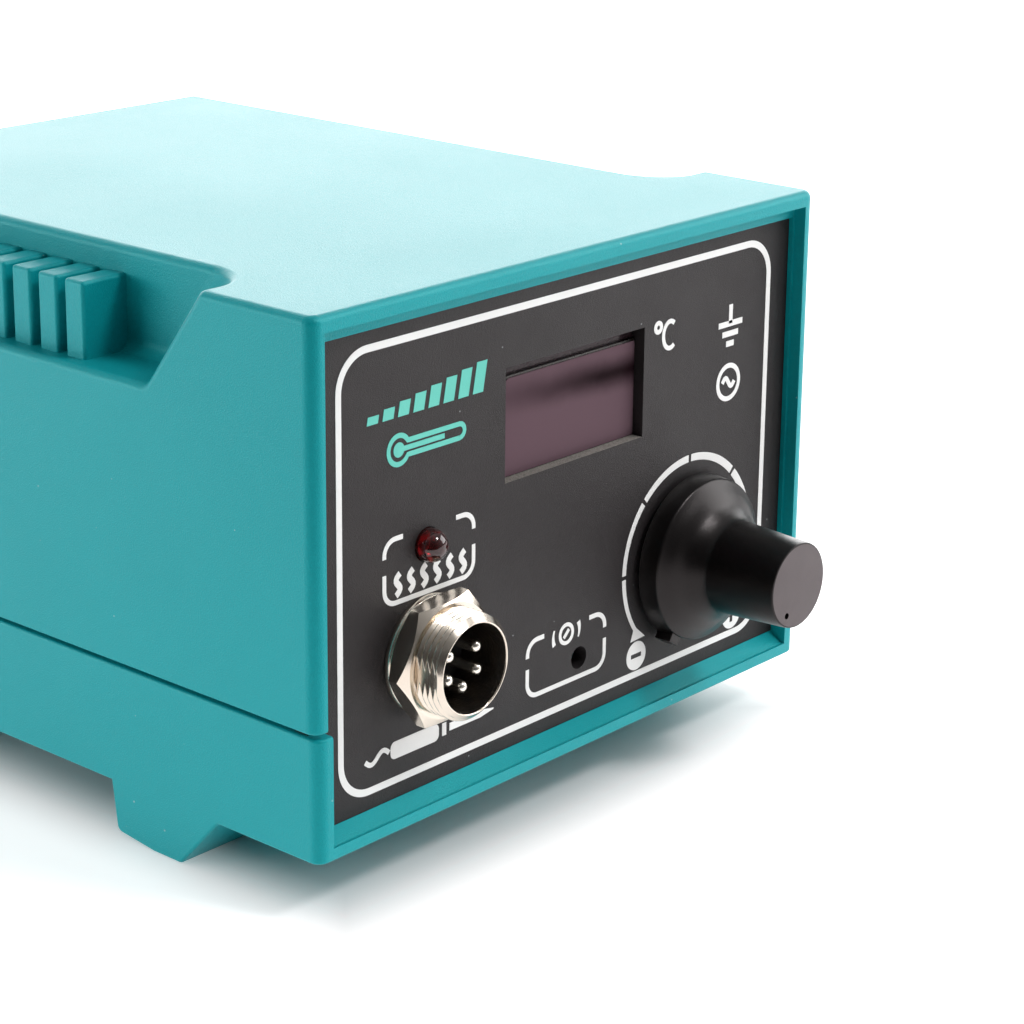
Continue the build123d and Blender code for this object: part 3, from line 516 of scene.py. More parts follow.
def finished(mesh, name, sharp, bevel=0, cutter=None):
    thing = placed(name + "Work", mesh)
    if cutter:
        cut = thing.modifiers.new("cut", "BOOLEAN")
        cut.operation = "DIFFERENCE"
        cut.object = cutter
    if bevel:
        edge = thing.modifiers.new("edge", "BEVEL")
        edge.width = bevel * mm
        edge.segments = 2
        edge.limit_method = "ANGLE"
        edge.angle_limit = radians(sharp)
    made = bakeDown(thing, name)
    if cutter:
        bpy.data.objects.remove(cutter)
    made.set_sharp_from_angle(angle=radians(sharp))
    thing = placed(name + "Work", made)
    even = thing.modifiers.new("even", "WEIGHTED_NORMAL")
    even.keep_sharp = True
    return bakeDown(thing, name)


def standOn(mesh, axis):
    mesh.transform(Matrix.Translation((axis.x, panelFace, axis.z)))
    return mesh


def addTurned(name, work, axis, sharp, slotName, *stoodFor):
    mesh = finished(meshFrom(name, work, finishes[slotName]), name, sharp)
    addPiece(name, standOn(mesh, axis), "station", slotName, *stoodFor)


# Printed marks as thin layers of ink, in mm across the panel and up from its middle
inkLook = {"thickness": 0.05, "middleZ": 48.0}


def makeInkTree():
    tree, given, made = newGroup("inkLine", "GeometryNodeTree",
                                 [("Geometry", "Geometry", None), ("Width", "Float", 0.001),
                                  ("Thickness", "Float", 0.00004), ("Ink", "Material", None)],
                                 [("Geometry", "Geometry")])
    upright = addNode(tree, "GeometryNodeSetCurveNormal", mode="Z_UP")
    feed(tree, upright, Curve=given.outputs["Geometry"])
    section = addNode(tree, "GeometryNodeCurvePrimitiveQuadrilateral")
    feed(tree, section, Width=given.outputs["Width"], Height=given.outputs["Thickness"])
    line = addNode(tree, "GeometryNodeCurveToMesh")
    feed(tree, line, Curve=upright.outputs[0], Profile_Curve=section.outputs[0], Fill_Caps=True,
         Scale=addNode(tree, "GeometryNodeInputRadius").outputs[0])
    return endTree(tree, made, line.outputs[0], given.outputs["Ink"])


inkTree = makeInkTree()


def inkCurve(name, strokes):
    curve = bpy.data.curves.new(name, "CURVE")
    curve.dimensions = "3D"
    for stroke in strokes:
        spline = curve.splines.new("POLY")
        spline.points.add(len(stroke["points"]) - 1)
        first, end = stroke.get("swell", (1.0, 1.0))
        last = max(1, len(stroke["points"]) - 1)
        for k, (x, y) in enumerate(stroke["points"]):
            spline.points[k].co = (x * mm, y * mm, 0, 1)
            spline.points[k].radius = first + (end - first) * k / last
        spline.use_cyclic_u = stroke.get("closed", False)
    return curve


def ontoPanel(mesh):
    lift = inkLook["thickness"] * mm / 2
    middle = Matrix.Translation((0, panelFace - lift, inkLook["middleZ"] * mm))
    mesh.transform(middle @ Matrix.Rotation(pi / 2, 4, "X"))
    return mesh


def flatShaded(mesh):
    for face in mesh.polygons:
        face.use_smooth = False
    return mesh


def inkLines(name, width, strokes, ink="whiteInk"):
    values = {"Width": width * mm, "Thickness": inkLook["thickness"] * mm, "Ink": trims[ink]}
    mesh = ontoPanel(runTree(inkTree, inkCurve(name, strokes), values, name))
    addPiece(name, flatShaded(mesh), "station", "trimmer_white")


def flatInk(name, outlines, ink):
    curve = inkCurve(name, [{"points": points, "closed": True} for points in outlines])
    curve.dimensions = "2D"
    curve.fill_mode = "BOTH"
    curve.extrude = inkLook["thickness"] * mm / 2
    mesh = bakeDown(placed(name + "Source", curve), name)
    mesh.materials.clear()
    mesh.materials.append(trims[ink])
    return flatShaded(mesh)


def inkFill(name, outlines, ink="whiteInk"):
    addPiece(name, ontoPanel(flatInk(name, outlines, ink)), "station", "trimmer_white")


borderLook = {"halfWidth": 49.1, "halfHeight": 32.75, "corner": 5.6, "line": 1.1, "steps": 12}


def printBorder():
    wide, tall = borderLook["halfWidth"], borderLook["halfHeight"]
    outline = roundedBox(-wide, wide, -tall, tall, borderLook["corner"], borderLook["steps"])
    inkLines("panelBorder", borderLook["line"], [{"points": outline, "closed": True}])


boxLook = {"line": 0.75, "corner": 2.2, "lamp": (-40.2, -21.5, -5.6, 4.0),
           "trim": (-9.15, 9.15, -28.9, -19.9), "topRun": 1.6, "sideRun": 2.6, "bottomRise": 2.4,
           "steps": 8}


def printBrokenBox(name, left, right, low, high):
    corner, steps = boxLook["corner"], boxLook["steps"]
    hook = [(left, high - boxLook["sideRun"])] + arc((left + corner, high - corner), corner, 180, 90, steps)
    hook.append((left + corner + boxLook["topRun"], high))
    mirrored = [(left + right - x, y) for x, y in hook]
    rise = low + corner + boxLook["bottomRise"]
    tray = [(left, rise)] + arc((left + corner, low + corner), corner, 180, 270, steps)
    tray += arc((right - corner, low + corner), corner, 270, 360, steps) + [(right, rise)]
    inkLines(name, boxLook["line"], [{"points": points} for points in (hook, mirrored, tray)])


# Scale around the knob in stretches that swell, with an arrow and discs at its ends
scaleLook = {"radius": 16.0, "line": 1.0, "turns": (217, 180, 135, 90, 45, 0, -37), "gap": 2.4,
             "swell": (0.75, 1.6), "steps": 14, "disc": 2.4, "discSteps": 45, "discPlace": (-12.5, -13.9),
             "bar": (2.6, 0.75), "arrow": ((15.7, -27.0), (19.3, -26.8), (16.6, -24.5))}
knobPlace = (knobAxis.x / mm, knobAxis.z / mm - inkLook["middleZ"])


def printScale():
    strokes = []
    low, high = scaleLook["swell"]
    turns = scaleLook["turns"]
    share = 1 / (len(turns) - 1)
    edge = scaleLook["gap"] / 2
    for k, (first, last) in enumerate(zip(turns, turns[1:])):
        swell = [low + (high - low) * j * share for j in (k, k + 1)]
        run = arc(knobPlace, scaleLook["radius"], first - edge, last + edge, scaleLook["steps"])
        strokes.append({"points": run, "swell": swell})
    inkLines("scaleArc", scaleLook["line"], strokes)


def printDisc(name, side, crossed):
    across, up = scaleLook["discPlace"]
    x, y = knobPlace[0] + side * across, knobPlace[1] + up
    long, thick = (size / 2 for size in scaleLook["bar"])
    sign = plainBox(-long, long, -thick, thick)
    if crossed:
        arm = [(-long, -thick), (-thick, -thick), (-thick, -long)]
        sign = []
        for quarter in range(4):
            sign += arm
            arm = [(-b, a) for a, b in arm]
    disc = circle((x, y), scaleLook["disc"], scaleLook["discSteps"])
    inkFill(name, [disc, [(x + a, y + b) for a, b in sign]])


# Plain pictograms for what each control does
wavesLook = {"line": 1.0, "count": 6, "x": (-37.4, -23.8), "z": (-4.6, -1.4), "sway": 0.6, "lean": 0.8,
             "steps": 12}


def printHeatWaves():
    strokes = []
    (left, right), (low, high) = wavesLook["x"], wavesLook["z"]
    shares = [step / wavesLook["steps"] for step in range(wavesLook["steps"] + 1)]
    for k in range(wavesLook["count"]):
        x = left + (right - left) * k / (wavesLook["count"] - 1)
        strokes.append({"points": [(x + wavesLook["lean"] * (t - 0.5) + wavesLook["sway"] * sin(2 * pi * t),
                                    low + (high - low) * t) for t in shares]})
    inkLines("heatWaves", wavesLook["line"], strokes)


adjustLook = {"line": 0.62, "place": (-0.1, -21.0), "radius": 1.5, "slot": 0.595, "sweep": 3.1, "reach": 24,
              "swell": (0.5, 1.3), "ringSteps": 24, "sweepSteps": 10}


def printAdjuster():
    x, y = adjustLook["place"]
    slot, reach = adjustLook["slot"], adjustLook["reach"]
    strokes = [{"points": circle((x, y), adjustLook["radius"], adjustLook["ringSteps"]), "closed": True},
               {"points": [(x - slot, y - slot), (x + slot, y + slot)]}]
    for side in (0, 180):
        run = arc((x, y), adjustLook["sweep"], side - reach, side + reach, adjustLook["sweepSteps"])
        strokes.append({"points": run, "swell": adjustLook["swell"]})
    inkLines("adjustMark", adjustLook["line"], strokes)


# Each part of the iron from back to front, then half its height, and the lead's start, length and sway
ironLook = {"place": (-30.4, -28.1), "line": 0.75, "handle": (-8.6, 1.6, 1.35), "corner": 0.9,
            "ferrule": (2.3, 3.2, 1.0), "tip": (3.9, 10.6, 13.6, 0.6, 0.1), "lead": (-8.9, 4.9, 0.75),
            "cornerSteps": 4, "leadSteps": 14}


def printIron():
    x, y = ironLook["place"]
    back, front, half = ironLook["handle"]
    handle = roundedBox(x + back, x + front, y - half, y + half, ironLook["corner"],
                        ironLook["cornerSteps"])
    back, front, half = ironLook["ferrule"]
    ferrule = plainBox(x + back, x + front, y - half, y + half)
    back, taper, front, half, point = ironLook["tip"]
    tip = [(x + back, y - half), (x + taper, y - half), (x + front, y - point), (x + front, y + point),
           (x + taper, y + half), (x + back, y + half)]
    inkFill("ironMark", [handle, ferrule, tip])
    start, length, sway = ironLook["lead"]
    shares = [step / ironLook["leadSteps"] for step in range(ironLook["leadSteps"] + 1)]
    lead = [(x + start - length * t, y + sway * sin(2 * pi * t)) for t in shares]
    inkLines("ironLead", ironLook["line"], [{"points": lead}])


degreeLook = {"line": 0.74, "ring": (20.75, 23.4, 0.72), "letter": (23.7, 21.75, 1.65, 2.15),
              "open": (52, 308), "ringSteps": 24, "letterSteps": 26}


def printDegree():
    x, y, radius = degreeLook["ring"]
    small = circle((x, y), radius, degreeLook["ringSteps"])
    x, y, wide, tall = degreeLook["letter"]
    bend = arc((0, 0), 1, *degreeLook["open"], degreeLook["letterSteps"])
    letter = [(x + wide * across, y + tall * up) for across, up in bend]
    inkLines("degreeMark", degreeLook["line"], [{"points": small, "closed": True}, {"points": letter}])


earthLook = {"line": 0.95, "place": (39.3, 20.3), "bars": ((3.1, 0.3), (2.05, -1.35), (1.0, -3.0)),
             "stem": 3.4}


def printEarth():
    x, y = earthLook["place"]
    strokes = [{"points": [(x - half, y + up), (x + half, y + up)]} for half, up in earthLook["bars"]]
    longest = earthLook["bars"][0]
    strokes.append({"points": [(x, y + longest[1]), (x, y + earthLook["stem"])]})
    inkLines("earthMark", earthLook["line"], strokes)


supplyLook = {"line": 0.8, "place": (39.2, 10.9), "radius": 2.75, "wave": (1.55, 0.75), "ringSteps": 36,
              "waveSteps": 8}


def printSupply():
    x, y = supplyLook["place"]
    run, rise = supplyLook["wave"]
    shares = [step / supplyLook["waveSteps"] for step in range(2 * supplyLook["waveSteps"] + 1)]
    wave = [(x + run * (t - 1), y + rise * sin(pi * t)) for t in shares]
    rim = circle((x, y), supplyLook["radius"], supplyLook["ringSteps"])
    inkLines("supplyMark", supplyLook["line"], [{"points": rim, "closed": True}, {"points": wave}])


barsLook = {"x": -43.6, "z": 21.7, "count": 8, "step": 3.1, "wide": 2.2, "low": 1.2, "high": 4.6, "lean": 0.9}


def printRisingBars():
    outlines = []
    low = barsLook["z"]
    for k in range(barsLook["count"]):
        tall = barsLook["low"] + (barsLook["high"] - barsLook["low"]) * k / (barsLook["count"] - 1)
        lean = barsLook["lean"] * tall / barsLook["high"]
        left = barsLook["x"] + barsLook["step"] * k
        right = left + barsLook["wide"]
        outlines.append([(left, low), (right, low), (right + lean, low + tall), (left + lean, low + tall)])
    inkFill("risingBars", outlines, "mintInk")


gaugeLook = {"line": 0.75, "bulb": (-37.2, 16.9, 2.1), "tube": (-35.0, -23.6, 1.05),
             "filling": (1.1, 4.2, 0.38), "bulbOpen": (30, 330), "fillOpen": (20, 340),
             "bulbSteps": 25, "endSteps": 8, "fillSteps": 20}


def printGauge():
    x, y, radius = gaugeLook["bulb"]
    start, end, half = gaugeLook["tube"]
    tube = arc((x, y), radius, *gaugeLook["bulbOpen"], gaugeLook["bulbSteps"])
    tube += [(start, y - half), (end - half, y - half)]
    tube += arc((end - half, y), half, -90, 90, gaugeLook["endSteps"]) + [(start, y + half)]
    inkLines("gaugeMark", gaugeLook["line"], [{"points": tube, "closed": True}], "mintInk")
    radius, short, half = gaugeLook["filling"]
    filling = arc((x, y), radius, *gaugeLook["fillOpen"], gaugeLook["fillSteps"])
    filling += [(end - short, y - half), (end - short, y + half)]
    inkFill("gaugeFill", [filling], "mintInk")


# On and off marks on the two faces of the rear switch's rocker, which stands tilted at rest
rockerLook = {"tilt": -11.0, "pivot": 5.0, "faces": {"onMark": 1, "offMark": -1}, "top": (4.4, 7.2),
              "waist": (3.0, 0.0), "bar": (0.42, 1.7), "ring": (1.75, 1.2), "steps": 36}


def markRocker():
    middle, back = middleOf("switch_housing"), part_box("switch_housing")[1].y
    pivot = Matrix.Translation((middle.x, back - rockerLook["pivot"] * mm, middle.z))
    turned = pivot @ Matrix.Rotation(radians(rockerLook["tilt"]), 4, "X")
    wide, tall = rockerLook["bar"]
    shapes = {"onMark": [plainBox(-wide, wide, -tall, tall)],
              "offMark": [circle((0, 0), radius, rockerLook["steps"]) for radius in rockerLook["ring"]]}
    (topOut, topUp), (waistOut, waistUp) = rockerLook["top"], rockerLook["waist"]
    across = Vector((-1, 0, 0))
    for name, side in rockerLook["faces"].items():
        along = Vector((0, (topOut - waistOut) * side, topUp - waistUp)).normalized()
        out = across.cross(along)
        spot = Vector((0, (topOut + waistOut) / 2, side * (topUp + waistUp) / 2)) * mm
        spot += out * inkLook["thickness"] * mm / 2
        facing = Matrix((across, along, out)).transposed().to_4x4()
        mesh = flatInk(name, shapes[name], "whiteInk")
        mesh.transform(turned @ Matrix.Translation(spot) @ facing)
        addPiece(name, mesh, "rocker", "trimmer_white")


printBorder()
printBrokenBox("lampBox", *boxLook["lamp"])
printBrokenBox("trimBox", *boxLook["trim"])
printScale()
printDisc("minusMark", 1, False)
printDisc("plusMark", -1, True)
inkFill("scaleArrow", [scaleLook["arrow"]])
printHeatWaves()
printAdjuster()
printIron()
printDegree()
printEarth()
printSupply()
printRisingBars()
printGauge()
markRocker()
print("panel and rocker printed")

# Temperature knob, turned, with a rib on its ring and a dimple for a pointer
knobLook = {"hollow": ((0, 15.5), (3.02, 15.5), (3.02, 5.0), (7.4, 5.0), (7.4, 0.8)),
            "ring": ((13.3, 0.8), (13.5, 1.0), (13.14, 3.95), (13.1, 4.16), (13.0, 4.3)),
            "bell": ((12.84, 4.4), (11.15, 5.6), (8.95, 7.2), (7.5, 9.8)),
            "bellStart": (-1.7, 1.0), "bellEnd": (-0.14, 2.6), "bellSteps": 10,
            "end": ((6.86, 21.55), (6.8, 21.78), (6.6, 21.9), (0, 21.9)), "faceFrom": 21.5, "faceLean": 0.98,
            "rib": {"out": 13.4, "along": 2.4, "halves": (1.2, 1.5, 1.25), "edge": 0.18},
            "dimple": {"reach": 5.15, "radius": 0.52, "deep": 0.8, "steps": 28},
            "turn": 237, "steps": 144, "sharp": 33}


def dimpleTool(turn):
    dimple = knobLook["dimple"]
    reach, radius, face = dimple["reach"] * mm, dimple["radius"] * mm, knobLook["end"][-1][1] * mm
    spot = Matrix.Translation((reach * cos(turn), -face, reach * sin(turn)))
    tool = bmesh.new()
    bmesh.ops.create_cone(tool, cap_ends=True, segments=dimple["steps"], radius1=radius, radius2=radius,
                          depth=2 * dimple["deep"] * mm, matrix=spot @ Matrix.Rotation(pi / 2, 4, "X"))
    return placed("dimpleTool", meshFrom("dimpleTool", tool, finishes["knob_plastic"]))


def makeKnob():
    work = bmesh.new()
    bell = smoothRun(knobLook["bell"], knobLook["bellStart"], knobLook["bellEnd"], knobLook["bellSteps"])
    lathe(work, [*knobLook["hollow"], *knobLook["ring"], *bell, *knobLook["end"]], knobLook["steps"])
    mesh = meshFrom("knobTurned", work, finishes["knob_plastic"])
    turn = radians(knobLook["turn"])
    mesh = finished(mesh, "knobTurned", knobLook["sharp"], 0, dimpleTool(turn))
    mesh.materials.append(trims["knobFace"])
    for face in mesh.polygons:
        if face.normal.y < -knobLook["faceLean"] and face.center.y < -knobLook["faceFrom"] * mm:
            face.material_index = 1
    addPiece("knobTurned", standOn(mesh, knobAxis), "knob", "knob_plastic", "temperature_knob")
    rib = knobLook["rib"]
    work = bmesh.new()
    bmesh.ops.create_cube(work, size=1)
    bmesh.ops.scale(work, vec=[2 * half * mm for half in rib["halves"]], verts=work.verts)
    bmesh.ops.translate(work, vec=(rib["out"] * mm, -rib["along"] * mm, 0), verts=work.verts)
    bmesh.ops.rotate(work, cent=(0, 0, 0), matrix=Matrix.Rotation(-turn, 3, "Y"), verts=work.verts)
    mesh = meshFrom("knobRib", work, finishes["knob_plastic"])
    mesh = finished(mesh, "knobRib", knobLook["sharp"], rib["edge"])
    addPiece("knobRib", standOn(mesh, knobAxis), "knob", "knob_plastic")


makeKnob()

# Iron socket: threaded barrel with a milled flat, nut, washer and pins
threadMesh = {"around": 193, "along": 150, "steep": 1.25, "merge": 0.002}


def makeThreadTree():
    tree, given, made = newGroup("threadedBarrel", "GeometryNodeTree",
                                 [("Geometry", "Geometry", None), ("Radius", "Float", 0.008),
                                  ("Depth", "Float", 0.0005), ("Pitch", "Float", 0.001),
                                  ("Start", "Float", 0.0), ("Length", "Float", 0.008),
                                  ("Flat", "Float", 0.0075), ("Lead", "Float", 0.0006),
                                  ("Metal", "Material", None)],
                                 [("Geometry", "Geometry")])
    value = given.outputs
    grid = feed(tree, addNode(tree, "GeometryNodeMeshGrid"), Size_X=1.0, Size_Y=1.0,
                Vertices_X=threadMesh["around"], Vertices_Y=threadMesh["along"])
    split = addNode(tree, "ShaderNodeSeparateXYZ")
    tree.links.new(addNode(tree, "GeometryNodeInputPosition").outputs[0], split.inputs[0])
    share = calc(tree, "ADD", split.outputs["X"], 0.5)
    turn = calc(tree, "MULTIPLY", share, 2 * pi)
    upward = calc(tree, "ADD", split.outputs["Y"], 0.5)
    along = calc(tree, "MULTIPLY_ADD", upward, value["Length"], value["Start"])
    # One tooth for each pitch, moved on by the turn
    phase = calc(tree, "FRACT", calc(tree, "SUBTRACT", calc(tree, "DIVIDE", along, value["Pitch"]), share))
    tooth = calc(tree, "ABSOLUTE", calc(tree, "MULTIPLY_ADD", phase, 2.0, -1.0))
    steep = threadMesh["steep"]
    tooth = calc(tree, "MULTIPLY_ADD", tooth, steep, (1 - steep) / 2)
    tooth = calc(tree, "MINIMUM", calc(tree, "MAXIMUM", tooth, 0.0), 1.0)
    radius = calc(tree, "SUBTRACT", value["Radius"], calc(tree, "MULTIPLY", tooth, value["Depth"]))
    # The thread runs out over the nose, and one side is milled flat
    left = calc(tree, "SUBTRACT", calc(tree, "ADD", value["Start"], value["Length"]), along)
    lead = calc(tree, "MAXIMUM", calc(tree, "SUBTRACT", value["Lead"], left), 0.0)
    radius = calc(tree, "MINIMUM", radius, calc(tree, "SUBTRACT", value["Radius"], lead))
    across = calc(tree, "MULTIPLY", radius, calc(tree, "COSINE", turn))
    across = calc(tree, "MAXIMUM", across, calc(tree, "MULTIPLY", value["Flat"], -1.0))
    place = addNode(tree, "ShaderNodeCombineXYZ")
    feed(tree, place, X=across, Y=calc(tree, "MULTIPLY", along, -1.0),
         Z=calc(tree, "MULTIPLY", radius, calc(tree, "SINE", turn)))
    moved = addNode(tree, "GeometryNodeSetPosition")
    feed(tree, moved, Geometry=grid.outputs["Mesh"], Position=place.outputs[0])
    merged = addNode(tree, "GeometryNodeMergeByDistance")
    feed(tree, merged, Geometry=moved.outputs[0], Distance=threadMesh["merge"] * mm)
    return endTree(tree, made, merged.outputs[0], value["Metal"])


barrelLook = {"Radius": 8.0, "Depth": 0.5, "Pitch": 1.0, "Start": 0.6, "Length": 8.8, "Flat": 7.45,
              "Lead": 1.05}
rimLook = {"sleeve": ((6.66, 0.4), (6.66, 9.22), (6.7, 9.34), (6.78, 9.4), (6.92, 9.4), (6.97, 9.36),
                      (6.97, 9.3), (6.9, 9.2), (6.9, 0.4)),
           "notch": {"turn": 96, "half": 9.5, "radius": 6.86, "within": 6.72, "above": 3}, "steps": 192,
           "sharp": 40, "darkWithin": 7.1, "darkLean": 0.3}


def notched(radius, along, turn):
    notch = rimLook["notch"]
    away = abs((degrees(turn) - notch["turn"] + 180) % 360 - 180)
    if radius < notch["within"] and along > notch["above"] and away < notch["half"]:
        return notch["radius"], along
    return radius, along


def makeBarrel():
    values = {key: value * mm for key, value in barrelLook.items()}
    values["Metal"] = finishes["nickel"]
    thread = runTree(makeThreadTree(), bpy.data.meshes.new("threadSeed"), values, "socketThread")
    work = bmesh.new()
    work.from_mesh(thread)
    for face in work.faces:
        face.material_index = 0
    lathe(work, rimLook["sleeve"], rimLook["steps"], True, notched)
    mesh = finished(meshFrom("socketBarrel", work, finishes["nickel"]), "socketBarrel", rimLook["sharp"])
    mesh.materials.append(trims["boreDark"])
    for face in mesh.polygons:
        reach = Vector((face.center.x, face.center.z)).length
        if abs(face.normal.y) < rimLook["darkLean"] and reach < rimLook["darkWithin"] * mm:
            face.material_index = 1
    addPiece("socketBarrel", standOn(mesh, socketAxis), "station", "nickel", "socket_shell")


nutLook = {"across": 18.0, "bore": 7.55, "from": 1.25, "to": 4.75, "flat": 0.965, "chamfer": 30, "lead": 0.35,
           "turn": 4.0, "steps": 180, "sharp": 26}


def makeNut():
    low, high, bore, lead = (nutLook[key] for key in ("from", "to", "bore", "lead"))
    half = nutLook["across"] / 2
    flat = half * nutLook["flat"]

    # The rim follows six sides, and its corners are turned down to a cone
    def hexed(radius, along, turn):
        if radius < half:
            return radius, along
        away = radians((degrees(turn) - nutLook["turn"]) % 60 - 30)
        reach = half / cos(away)
        drop = max(0.0, reach - flat) * tan(radians(nutLook["chamfer"]))
        return reach, along - drop if along > (low + high) / 2 else along + drop

    profile = [(bore, low), (flat, low), (half, low), (half, high), (flat, high), (bore + lead, high),
               (bore, high - lead)]
    work = bmesh.new()
    lathe(work, profile, nutLook["steps"], True, hexed)
    addTurned("socketNut", work, socketAxis, nutLook["sharp"], "nickel", "socket_nut")


washerLook = {"rim": ((7.62, 0.0), (8.8, 0.0), (8.96, 0.1), (9.0, 0.3), (8.95, 0.75), (8.75, 1.05),
                      (8.4, 1.2), (8.2, 1.25), (7.62, 1.25)), "steps": 144, "sharp": 40}


def makeWasher():
    work = bmesh.new()
    lathe(work, washerLook["rim"], washerLook["steps"], True)
    addTurned("socketDisc", work, socketAxis, washerLook["sharp"], "nickel", "socket_washer")


pinLook = {"rod": ((0.0, -19.0), (1.3, -19.0), (1.3, -13.6), (0.98, -13.6), (0.98, 6.55), (0.9, 6.98),
                   (0.68, 7.28), (0.36, 7.45), (0.0, 7.5)),
           "circle": 3.5, "turns": (-214, -152, -90, -28, 34), "steps": 40, "sharp": 40}


def makePins():
    work = bmesh.new()
    for turn in pinLook["turns"]:
        old = set(work.verts)
        lathe(work, pinLook["rod"], pinLook["steps"])
        across, up = (pinLook["circle"] * mm * share(radians(turn)) for share in (cos, sin))
        bmesh.ops.translate(work, vec=(across, 0, up), verts=[vert for vert in work.verts if vert not in old])
    addTurned("socketPins", work, socketAxis, pinLook["sharp"], "plated_pin", "socket_pins")


makeBarrel()
makeNut()
makeWasher()
makePins()

# Inside of the lamp: a bright cup on its post
cupLook = {"cup": ((0.0, -0.9), (0.95, -0.3), (1.05, -0.3), (0.5, -1.3), (0.45, -5.0), (0.0, -5.0)),
           "steps": 40, "sharp": 30}


def makeLampCup():
    work = bmesh.new()
    lathe(work, cupLook["cup"], cupLook["steps"])
    addTurned("lampCup", work, lampAxis, cupLook["sharp"], "zinc_steel")


makeLampCup()

# Smoky film over the display window, with a dark slab behind its edge as a painted line of shadow around it,
# thinner right and below
filmLook = {"x": (-13.3, 17.15), "z": (6.75, 21.75), "corner": 1.5, "others": 0.3, "front": 1.75,
            "back": 2.45, "steps": 8, "line": 0.35, "set": (0.12, 0.05)}


def slab(name, outline, near, far, finish):
    work = bmesh.new()
    rings = []
    for depth in (near, far):
        y = panelFace + depth * mm
        rings.append([work.verts.new((x * mm, y, (z + inkLook["middleZ"]) * mm)) for x, z in outline])
        work.faces.new(rings[-1])
    for k in range(len(outline)):
        after = (k + 1) % len(outline)
        work.faces.new((rings[0][k], rings[0][after], rings[1][after], rings[1][k]))
    return meshFrom(name, work, finish, False)


def makeFilm():
    (left, right), (low, high) = filmLook["x"], filmLook["z"]
    corner, others, steps, line = (filmLook[key] for key in ("corner", "others", "steps", "line"))
    front, back = filmLook["front"], filmLook["back"]
    outline = roundedBox(left, right, low, high, corner, steps, others)
    addPiece("windowFilm", slab("windowFilm", outline, front, back, filmPaintedReflection), "station", "tinted_window")
    # Painted shadow: a dark slab a little larger than the film shows as a line around it
    outline = roundedBox(left - line, right + line / 2, low - line / 3, high + line, corner + line / 2,
                         steps, others)
    setIn, setOut = filmLook["set"]
    mesh = slab("windowGapShadow", outline, front + setIn, back - setOut, trims["boreDark"])
    addPiece("windowGapShadow", mesh, "station", "black_insulator")


makeFilm()
print("front pieces made")

# Floor, light and camera
stageLook = {"floor": 8.0, "floorColour": (0.80, 0.76, 0.76), "toneSize": 0.4, "toneDip": 0.985, "glow": 0.65,
             "paintedShadowFade": (-0.012, 0.009), "grow": (0.0, 0.005), "skyFront": 0.06, "skyBack": 0.58,
             "skyAim": (0.741, 0.645, 0.18), "skyFade": (-0.95, 0.3), "frontEdge": 0.25}


# How far a floor point lies outside the rectangle under the case, less than zero below it
def awayFromObject(tree):
    low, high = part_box("bottom_case")
    place = placeXYZ(tree)
    gaps = []
    for axis, name in enumerate("XY"):
        middle, half = (low[axis] + high[axis]) / 2, (high[axis] - low[axis]) / 2
        side = calc(tree, "ABSOLUTE", calc(tree, "SUBTRACT", place.outputs[name], middle))
        gaps.append(calc(tree, "SUBTRACT", side, half + stageLook["grow"][axis]))
    return calc(tree, "MAXIMUM", *gaps)


def makeFloor():
    work = bmesh.new()
    bmesh.ops.create_grid(work, x_segments=8, y_segments=8, size=stageLook["floor"] / 2)
    toBack = Vector(stageLook["skyAim"]) * Vector((1, 1, 0))
    bmesh.ops.bisect_plane(work, geom=work.verts[:] + work.edges[:] + work.faces[:], clear_inner=True,
                           plane_co=-toBack.normalized() * stageLook["frontEdge"], plane_no=toBack)
    finish, tree, shader = newFinish("paleFloor", Roughness=0.5, Emission_Strength=1.0)
    # Painted shadow: the floor's glow fades out near the case and is gone beneath it
    glow = mapRange(tree, awayFromObject(tree), *stageLook["paintedShadowFade"], 0.0, stageLook["glow"], True)
    tone = placeGroup(tree, toneGroup, Size=stageLook["toneSize"])
    pale = stageLook["floorColour"]
    dipped = [part * stageLook["toneDip"] for part in pale]
    colour = mixColour(tree, tone.outputs["Value"], pale, dipped)
    feed(tree, shader, Emission_Color=glow, Base_Color=colour)
    placed("floor", meshFrom("floor", work, finish))


# A white studio, darker in front of the object, that the camera sees as plain white
def makeSky():
    world = bpy.data.worlds.new("studio")
    bpy.context.scene.world = world
    world.use_nodes = True
    tree = world.node_tree
    aim = addNode(tree, "ShaderNodeVectorMath", operation="DOT_PRODUCT")
    tree.links.new(addNode(tree, "ShaderNodeTexCoord").outputs["Generated"], aim.inputs[0])
    aim.inputs[1].default_value = stageLook["skyAim"]
    sky = mapRange(tree, aim.outputs["Value"], *stageLook["skyFade"], stageLook["skyFront"],
                   stageLook["skyBack"], True)
    seen = addNode(tree, "ShaderNodeLightPath").outputs["Is Camera Ray"]
    feed(tree, tree.nodes["Background"], Color=(1, 1, 1, 1), Strength=mapRange(tree, seen, 0.0, 1.0, sky))


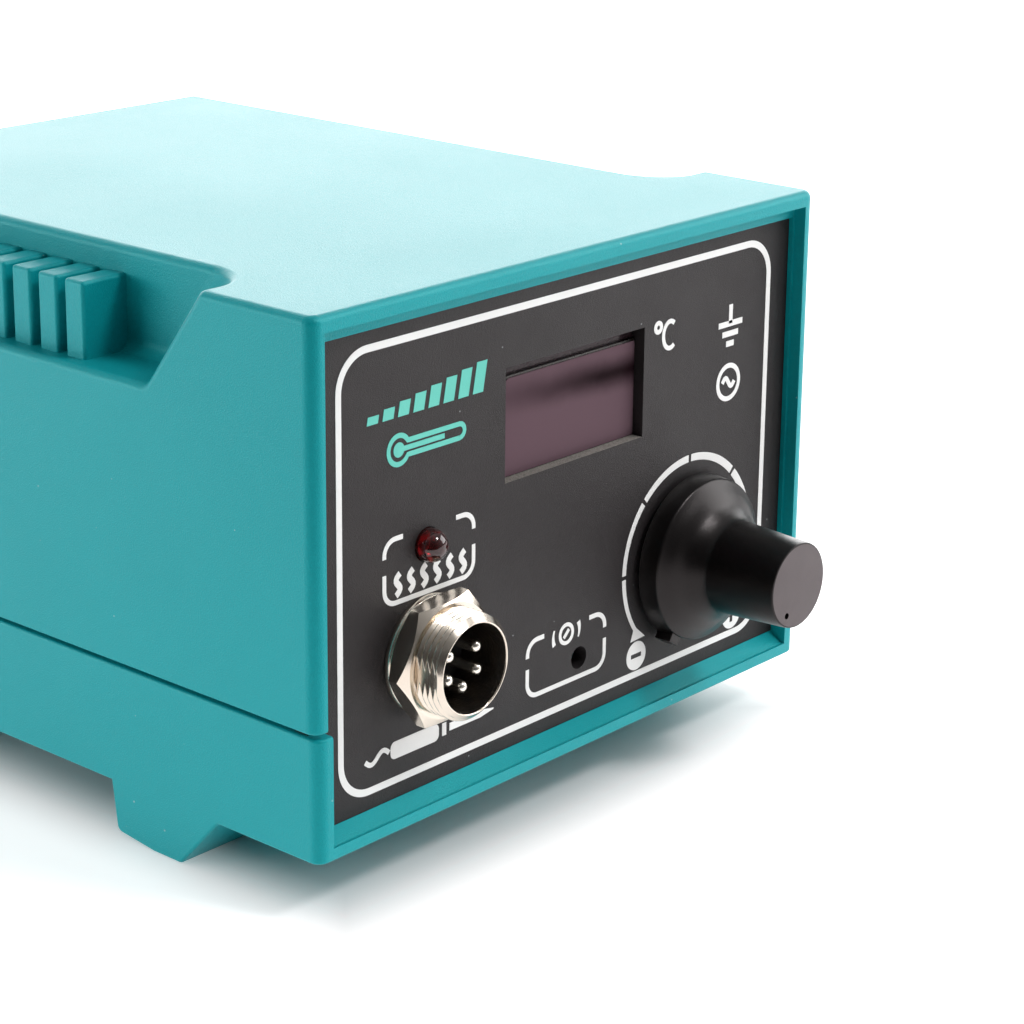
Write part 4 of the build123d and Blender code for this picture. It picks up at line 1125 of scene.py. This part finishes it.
# The lamps with diffuse off show only as reflections
lampLooks = {
    "overhead": {"place": (0.1, 0.25, 1.3), "aim": (0, 0, 0.05), "size": (1.6, 1.4), "power": 0.8},
    "backGlow": {"place": (0.95, 1.0, 0.42), "aim": (0, 0, 0.09), "size": (2.6, 0.8), "power": 27,
                 "diffuse": False},
    "frontKey": {"place": (0.26, -0.72, 0.92), "aim": (0, 0, 0.05), "size": (0.2, 0.2), "power": 4.6},
    "knobGlint": {"place": (0.26, -0.72, 0.92), "aim": (0, 0, 0.05), "size": (0.16, 0.16), "power": 2.5,
                  "diffuse": False},
    "rightFill": {"place": (0.85, -0.55, 0.45), "aim": (0, 0, 0.05), "size": (0.7, 0.6), "power": 5.5},
    "leftBack": {"place": (-0.95, 0.75, 0.22), "aim": (0, 0, 0.05), "size": (0.9, 0.3), "power": 6},
}


def makeLights():
    for name, look in lampLooks.items():
        data = bpy.data.lights.new(name, "AREA")
        data.shape = "RECTANGLE"
        data.size, data.size_y = look["size"]
        data.energy = look["power"]
        light = placed(name, data)
        light.visible_camera = False
        light.visible_diffuse = look.get("diffuse", True)
        light.location = look["place"]
        light.rotation_mode = "QUATERNION"
        light.rotation_quaternion = (Vector(look["aim"]) - Vector(look["place"])).to_track_quat("-Z", "Y")


# Place in mm from the point of the floor below the panel's middle, angles in degrees
cameraLook = {"place": (-302.14, -252.01, 179.21), "azimuth": 48.896, "drop": 16.508, "roll": 0.639,
              "lens": 96.589, "sensor": 36.0, "shift": (0.0, -0.1), "clip": (0.01, 50)}


def makeCamera():
    data = bpy.data.cameras.new("photoCamera")
    data.lens = cameraLook["lens"]
    data.sensor_width = cameraLook["sensor"]
    data.shift_x, data.shift_y = cameraLook["shift"]
    data.clip_start, data.clip_end = cameraLook["clip"]
    camera = placed("photoCamera", data)
    azimuth, drop = radians(cameraLook["azimuth"]), radians(cameraLook["drop"])
    look = Vector((sin(azimuth) * cos(drop), cos(azimuth) * cos(drop), -sin(drop)))
    camera.location = Vector(cameraLook["place"]) * mm + Vector((0, panelFace, 0))
    camera.rotation_mode = "QUATERNION"
    roll = Quaternion((0, 0, 1), radians(cameraLook["roll"]))
    camera.rotation_quaternion = look.to_track_quat("-Z", "Y") @ roll
    bpy.context.scene.camera = camera


makeFloor()
makeSky()
makeLights()
makeCamera()
bpy.context.scene.view_settings.view_transform = "Standard"
print("stage set")
